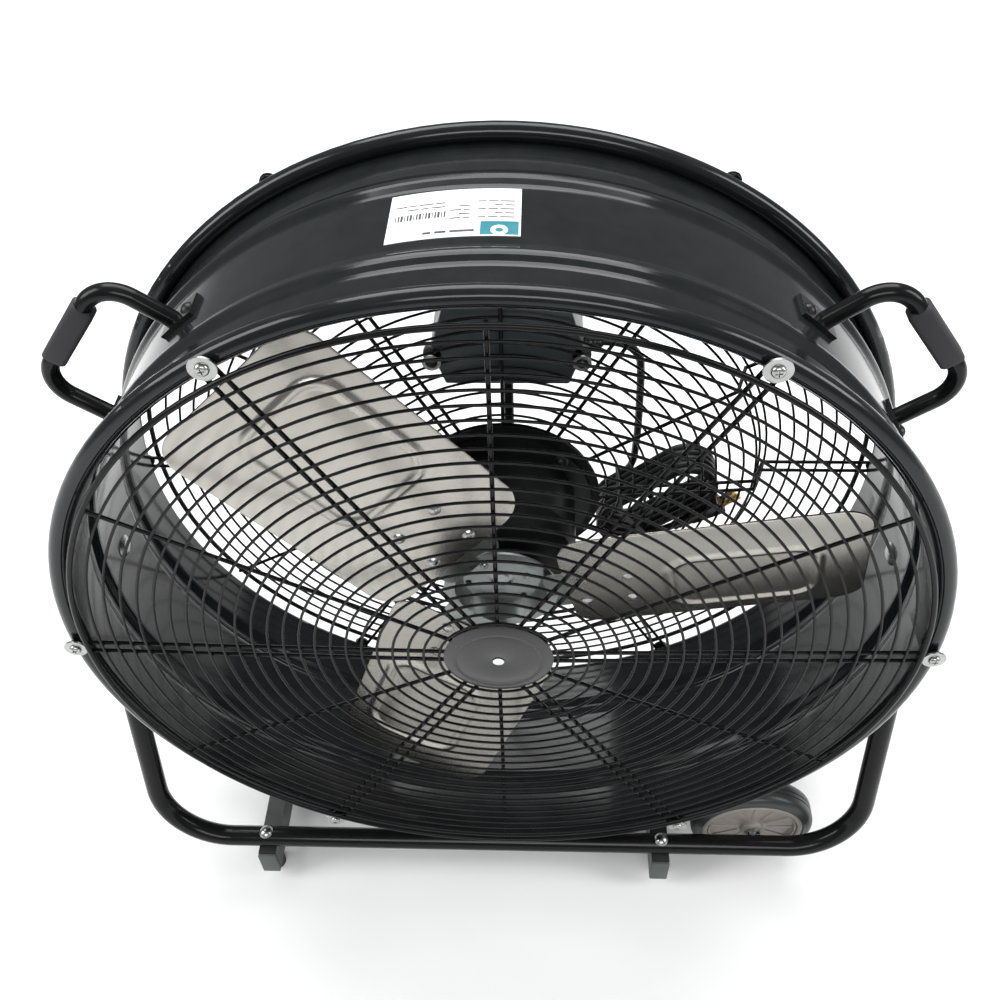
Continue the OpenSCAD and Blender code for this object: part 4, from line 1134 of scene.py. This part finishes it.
@dataclass
class GuardTrim:
    """Centre cap and cross-recessed screws of the front guard."""

    screw_circle: float = 333.0

    def build(self) -> None:
        """Makes the cap and the six screws."""
        low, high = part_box("front_guard_cap")
        radius = (high[0] - low[0]) / 2 / MM
        thick = (high[1] - low[1]) / MM
        place = (Matrix.Translation((PIVOT.x, high[1], PIVOT.z))
                 @ Matrix.Rotation(math.radians(90), 4, "X"))
        cap = Bench.turned("guard_centre_cap", [
            (2.7, 0), (radius - 0.3, 0), (radius, 0.3), (radius, 0.9), (radius - 1.2, 1.5),
            (radius - 6.6, thick - 0.35), (radius - 7.8, thick), (radius - 9.0, thick),
            (radius - 9.6, thick - 0.5), (radius - 10.4, thick - 0.5), (radius - 11, thick),
            (6.2, thick), (5.6, thick - 0.4), (2.7, thick - 0.4)], place, steps=120,
            closed=True)
        fitted(cap, "drum", CAP_PLASTIC, ("front_guard_cap",))
        self._screws()

    def _screws(self) -> None:
        """Makes one cross-recessed pan head and copies it to the six places."""
        low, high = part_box("front_guard_screws")
        face = -(low[1] - PIVOT.y) / MM
        rear = -(high[1] - PIVOT.y) / MM
        head = Bench.turned("screw", [
            (0, face - 0.25), (1.6, face), (3.1, face - 0.35), (4.1, face - 1.1),
            (4.55, face - 2.1), (4.6, face - 2.8), (1.95, face - 2.8), (1.95, rear),
            (0, rear)], Matrix.Identity(4), steps=32)
        for turn in (0, 90):
            cutter = Bench.block("cutter", (4.6, 0.95, 3.2), Matrix.Translation(
                (0, 0, face * MM)) @ Matrix.Rotation(math.radians(turn), 4, "Z"), 0.12, 1)
            Bench.modified(head, "BOOLEAN", object=cutter, operation="DIFFERENCE",
                           solver="EXACT")
            bpy.data.objects.remove(cutter)
        Bench.seated(head, "screw", None, Shading.CRISP)
        places = [outward(60 * i) @ Matrix.Translation((self.screw_circle * MM, 0, 0))
                  @ Matrix.Rotation(math.radians(37 * i), 4, "Z") for i in range(6)]
        copies = Bench.copied(head, places)
        bpy.data.objects.remove(head)
        screws = Bench.joined("guard_cross_screws", copies)
        fitted(screws, "drum", ZINC, ("front_guard_screws",))


# ---------------------------------------------------------------------------
# Switch box
# ---------------------------------------------------------------------------


@dataclass
class SwitchBox:
    """The moulded switch box with its cover, dial and knob."""

    half: tuple[float, float] = (62.0, 46.0)
    waist: float = -11.0
    neck: float = 28.0
    shoulder: float = 11.0
    cover: float = 3.0

    def outline(self, inset: float) -> list[tuple[float, float]]:
        """Front outline of the box, drawn in by an inset."""
        w, h = self.half[0] - inset, self.half[1] - inset
        t = w - self.shoulder
        return [(-t, -h), (t, -h), (w, self.waist), (t, self.neck), (t, h), (-t, h),
                (-t, self.neck), (-w, self.waist)]

    def build(self) -> None:
        """Makes the box, its ears, its cover with screws, and the dial and knob."""
        low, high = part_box("switch_box_cover")
        base_low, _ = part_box("switch_box_base")
        centre = ((low[0] + high[0]) / 2, (low[2] + high[2]) / 2)
        front, back = base_low[1], high[1]
        deep = (back - front) / MM - self.cover
        place = (Matrix.Translation((centre[0], front, centre[1]))
                 @ Matrix.Rotation(math.radians(90), 4, "X"))
        shell = Bench.plate("box_shell", self.outline(0), -deep, place, 2.2, 3)
        pieces = [shell]
        for side in (-1, 1):
            ear = (Matrix.Translation((centre[0] + side * 60 * MM, front, centre[1] - 15 * MM))
                   @ Matrix.Rotation(math.radians(-90), 4, "X"))
            pieces.append(Bench.turned("ear", [
                (2.8, 0), (7.2, 0), (7.8, 0.6), (7.9, 5.4), (7.4, 6), (2.8, 6)], ear, 40,
                closed=True))
        base = Bench.joined("switch_box_shell", pieces)
        fitted(base, "drum", BOX_PLASTIC, ("switch_box_base",))
        lid_place = (Matrix.Translation((centre[0], back, centre[1]))
                     @ Matrix.Rotation(math.radians(90), 4, "X"))
        lid = Bench.plate("switch_box_lid", self.outline(0.2), self.cover, lid_place, 1.1, 3)
        fitted(lid, "drum", BOX_PLASTIC, ("switch_box_cover",))
        self._lid_screws(lid_place)
        self._dial(lid_place)
        self._knob()

    def _lid_screws(self, lid_place: Matrix) -> None:
        """Makes the four screws of the cover.

        Args:
            lid_place: the frame on the cover's outer face.
        """
        screws = []
        for x, y in ((-46, -39), (46, -39), (-46, 39), (46, 39)):
            spot = (lid_place @ Matrix.Translation(Vector((x, y, 0)) * MM)
                    @ Matrix.Rotation(math.pi, 4, "X"))
            screws.append(Bench.turned("lid_screw", [
                (0, 0.7), (1.0, 0.7), (1.2, 1.6), (2.6, 1.3), (3.5, 0.6), (3.7, 0), (0, -0.6)],
                spot, 24))
        fitted(Bench.joined("box_lid_screws", screws), "drum", ZINC)

    def _dial(self, lid_place: Matrix) -> None:
        """Makes the dial: a ring of marks round the knob, one for each setting.

        Args:
            lid_place: the frame on the cover's outer face.
        """
        pieces = []
        for i in range(4):
            spot = (lid_place @ Matrix.Rotation(math.radians(90 - 45 * i), 4, "Z")
                    @ Matrix.Translation(Vector((24.0, 0, -0.15)) * MM))
            pieces.append(Bench.block("mark", (5.0 + 1.2 * i, 1.5, 0.6), spot, 0.2, 1))
        fitted(Bench.joined("dial_marks", pieces), "drum", WHITE_DOT)

    def _knob(self) -> None:
        """Makes the speed knob with its skirt and pointer."""
        low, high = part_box("switch_knob")
        centre = JOINTS["knob_turn"]["pos_m"]
        tall = (high[1] - low[1]) / MM
        radius = (high[0] - low[0]) / 2 / MM
        place = (Matrix.Translation((centre[0], low[1], centre[2]))
                 @ Matrix.Rotation(math.radians(-90), 4, "X"))
        skirt = tall - 14.6
        body = Bench.turned("knob_body", [
            (0, 0), (3.9, 0), (3.9, skirt), (radius - 0.6, skirt), (radius, skirt + 0.6),
            (radius, skirt + 2.6), (radius - 1.4, skirt + 4.2), (radius - 4.2, skirt + 4.8),
            (radius - 5.4, tall - 2.2), (radius - 6.4, tall - 1.2), (0, tall - 1.2)], place, 64)
        pointer = Bench.block("knob_pointer", (4.6, 2 * radius - 1.2, 9.6), place
                              @ Matrix.Translation((0, 0, (tall - 5.4) * MM)), 1.3, 3)
        whole = Bench.joined("speed_knob", [body, pointer])
        fitted(whole, "knob", CAP_PLASTIC, ("switch_knob",))
        line = Bench.block("knob_line", (1.3, radius - 3, 0.5), place @ Matrix.Translation(
            Vector((0, -radius / 2 - 0.4, tall - 0.75)) * MM), 0.15, 1)
        fitted(line, "knob", WHITE_DOT)


# ---------------------------------------------------------------------------
# Handle grips, label, end caps
# ---------------------------------------------------------------------------


@dataclass
class Grips:
    """A moulded grip on each lifting handle."""

    angles: tuple[float, ...] = (38.0, 142.0)
    top: float = 378.0
    length: float = 57.6

    def build(self) -> None:
        """Makes both grips: a smooth sleeve, fuller on the side of the fingers."""
        grips = []

        def fuller(mesh: bmesh.types.BMesh) -> None:
            """Steps the inner side in from both ends and draws the ends down."""
            bmesh.ops.subdivide_edges(mesh, edges=[
                e for e in mesh.edges if abs(e.verts[0].co.y - e.verts[1].co.y) > 0.01],
                cuts=4, use_grid_fill=True)
            for vertex in mesh.verts:
                if abs(vertex.co.y) > 0.49 * self.length * MM:
                    vertex.co.x = max(vertex.co.x, -7.4 * MM)
                    vertex.co.z *= 0.9
                elif abs(vertex.co.y) > 0.25 * self.length * MM:
                    vertex.co.y = math.copysign((self.length / 2 - 3.5) * MM, vertex.co.y)

        for angle in self.angles:
            place = outward(angle) @ Matrix.Translation(((self.top - 0.6) * MM, 0, 0))
            grips.append(Bench.block("grip", (17.6, self.length, 16.6), place, 6.0, 6, fuller))
        fitted(Bench.joined("moulded_grips", grips), "drum", GRIP_RUBBER,
               ("handle_grips",))


@dataclass
class Label:
    """Plain printed blocks on the rating label: no words, only bars."""

    radius: float = 326.62

    def patch(self, name: str, x: float, y: float, wide: float, deep: float,
              lift: float = 0.0) -> bpy.types.Object:
        """A thin patch wrapped on the drum.

        Args:
            name: its name.
            x: middle across the drum, in millimetres.
            y: middle along the drum's axis, in millimetres.
            wide: size across.
            deep: size along the axis.
            lift: extra height.

        Returns:
            The patch.
        """
        Bench.clear()
        bpy.ops.mesh.primitive_grid_add(x_subdivisions=max(2, int(wide / 3)),
                                        y_subdivisions=2, size=2)
        piece = bpy.context.object
        r = self.radius + lift
        for vertex in piece.data.vertices:
            px = x + vertex.co.x * wide / 2
            a = math.asin(px / self.radius)
            vertex.co = in_drum(r * math.sin(a), y + vertex.co.y * deep / 2, r * math.cos(a))
        Bench.modified(piece, "SOLIDIFY", thickness=0.04 * MM, offset=1.0)
        return Bench.seated(piece, name)

    def build(self) -> None:
        """Makes the header block, the round mark, the lines and the striped code."""
        header = self.patch("label_header", 5.0, -15.6, 23.6, 14.6)
        fitted(header, "drum", LABEL_TEAL)
        place = (Matrix.Translation(PIVOT) @ Matrix.Rotation(math.asin(5 / self.radius), 4, "Y")
                 @ Matrix.Translation(Vector((0, -18.0, self.radius + 0.03)) * MM))
        mark = Bench.turned("label_ring_mark", [(2.4, 0), (5.4, 0), (5.4, 0.04), (2.4, 0.04)],
                            place, 40, closed=True)
        fitted(mark, "drum", WHITE_DOT)
        ink = []
        for row in range(5):
            y = -3.4 + row * 4.6
            for start, words in ((14.0, (9, 6, 5)), (-14.0, (4, 7)), (-30.0, (6, 9, 5, 7))):
                if row < 3 and start == -30.0 or row == 4 and start == -14.0:
                    continue
                x = start
                for word in words[row % 2:]:
                    ink.append(self.patch("word", x - word / 2, y, word, 1.0))
                    x -= word + 1.5
        for i in range(17):
            wide = 0.5 + 0.45 * ((i * 7) % 3)
            ink.append(self.patch("stripe", -61.0 + i * 1.95, 1.8, wide, 6.5))
        x = -10.5
        for word in (15, 7, 5):
            ink.append(self.patch("title", x - word / 2, -18.0, word, 2.2))
            x -= word + 2.4
        fitted(Bench.joined("label_lines", ink), "drum", LABEL_INK)


@dataclass
class StandTrim:
    """Moulded end caps of the cross tubes."""

    def build(self) -> None:
        """Makes the end caps."""
        caps = []
        for tube in ("cross_tube_left", "cross_tube_right"):
            low, high = (Vector(p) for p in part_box(tube))
            wide, tall = (high.x - low.x) / MM, (high.z - low.z) / MM
            for side, y in ((-1, low.y), (1, high.y)):
                middle = Vector(((low.x + high.x) / 2, y + side * 2.05 * MM,
                                 (low.z + high.z) / 2))
                caps.append(Bench.block("cap", (wide, 4.0, tall),
                                        Matrix.Translation(middle), 1.1, 3))
        fitted(Bench.joined("moulded_end_caps", caps), "stand", END_CAP,
               ("end_caps",))


def main() -> None:
    """Builds the scene in order: camera and cord first, then each sub-assembly."""
    logging.basicConfig(level=logging.INFO, format="%(name)s: %(message)s")
    studio = Studio()
    studio.place_camera()
    PowerCord().build()
    studio.lay_floor()
    studio.light()
    for name in frame["nodes"]:
        if name in NODE_FINISHES:
            dress_node(name, NODE_FINISHES[name])
    for number, angle in ((1, 10.6), (2, 130.6), (3, 250.6)):
        Blade(number, angle).build()
    for body in ("front_wheel", "rear_wheel"):
        Wheel(body).build()
    GuardTrim().build()
    SwitchBox().build()
    Grips().build()
    Label().build()
    StandTrim().build()


if __name__ == "__main__":
    main()
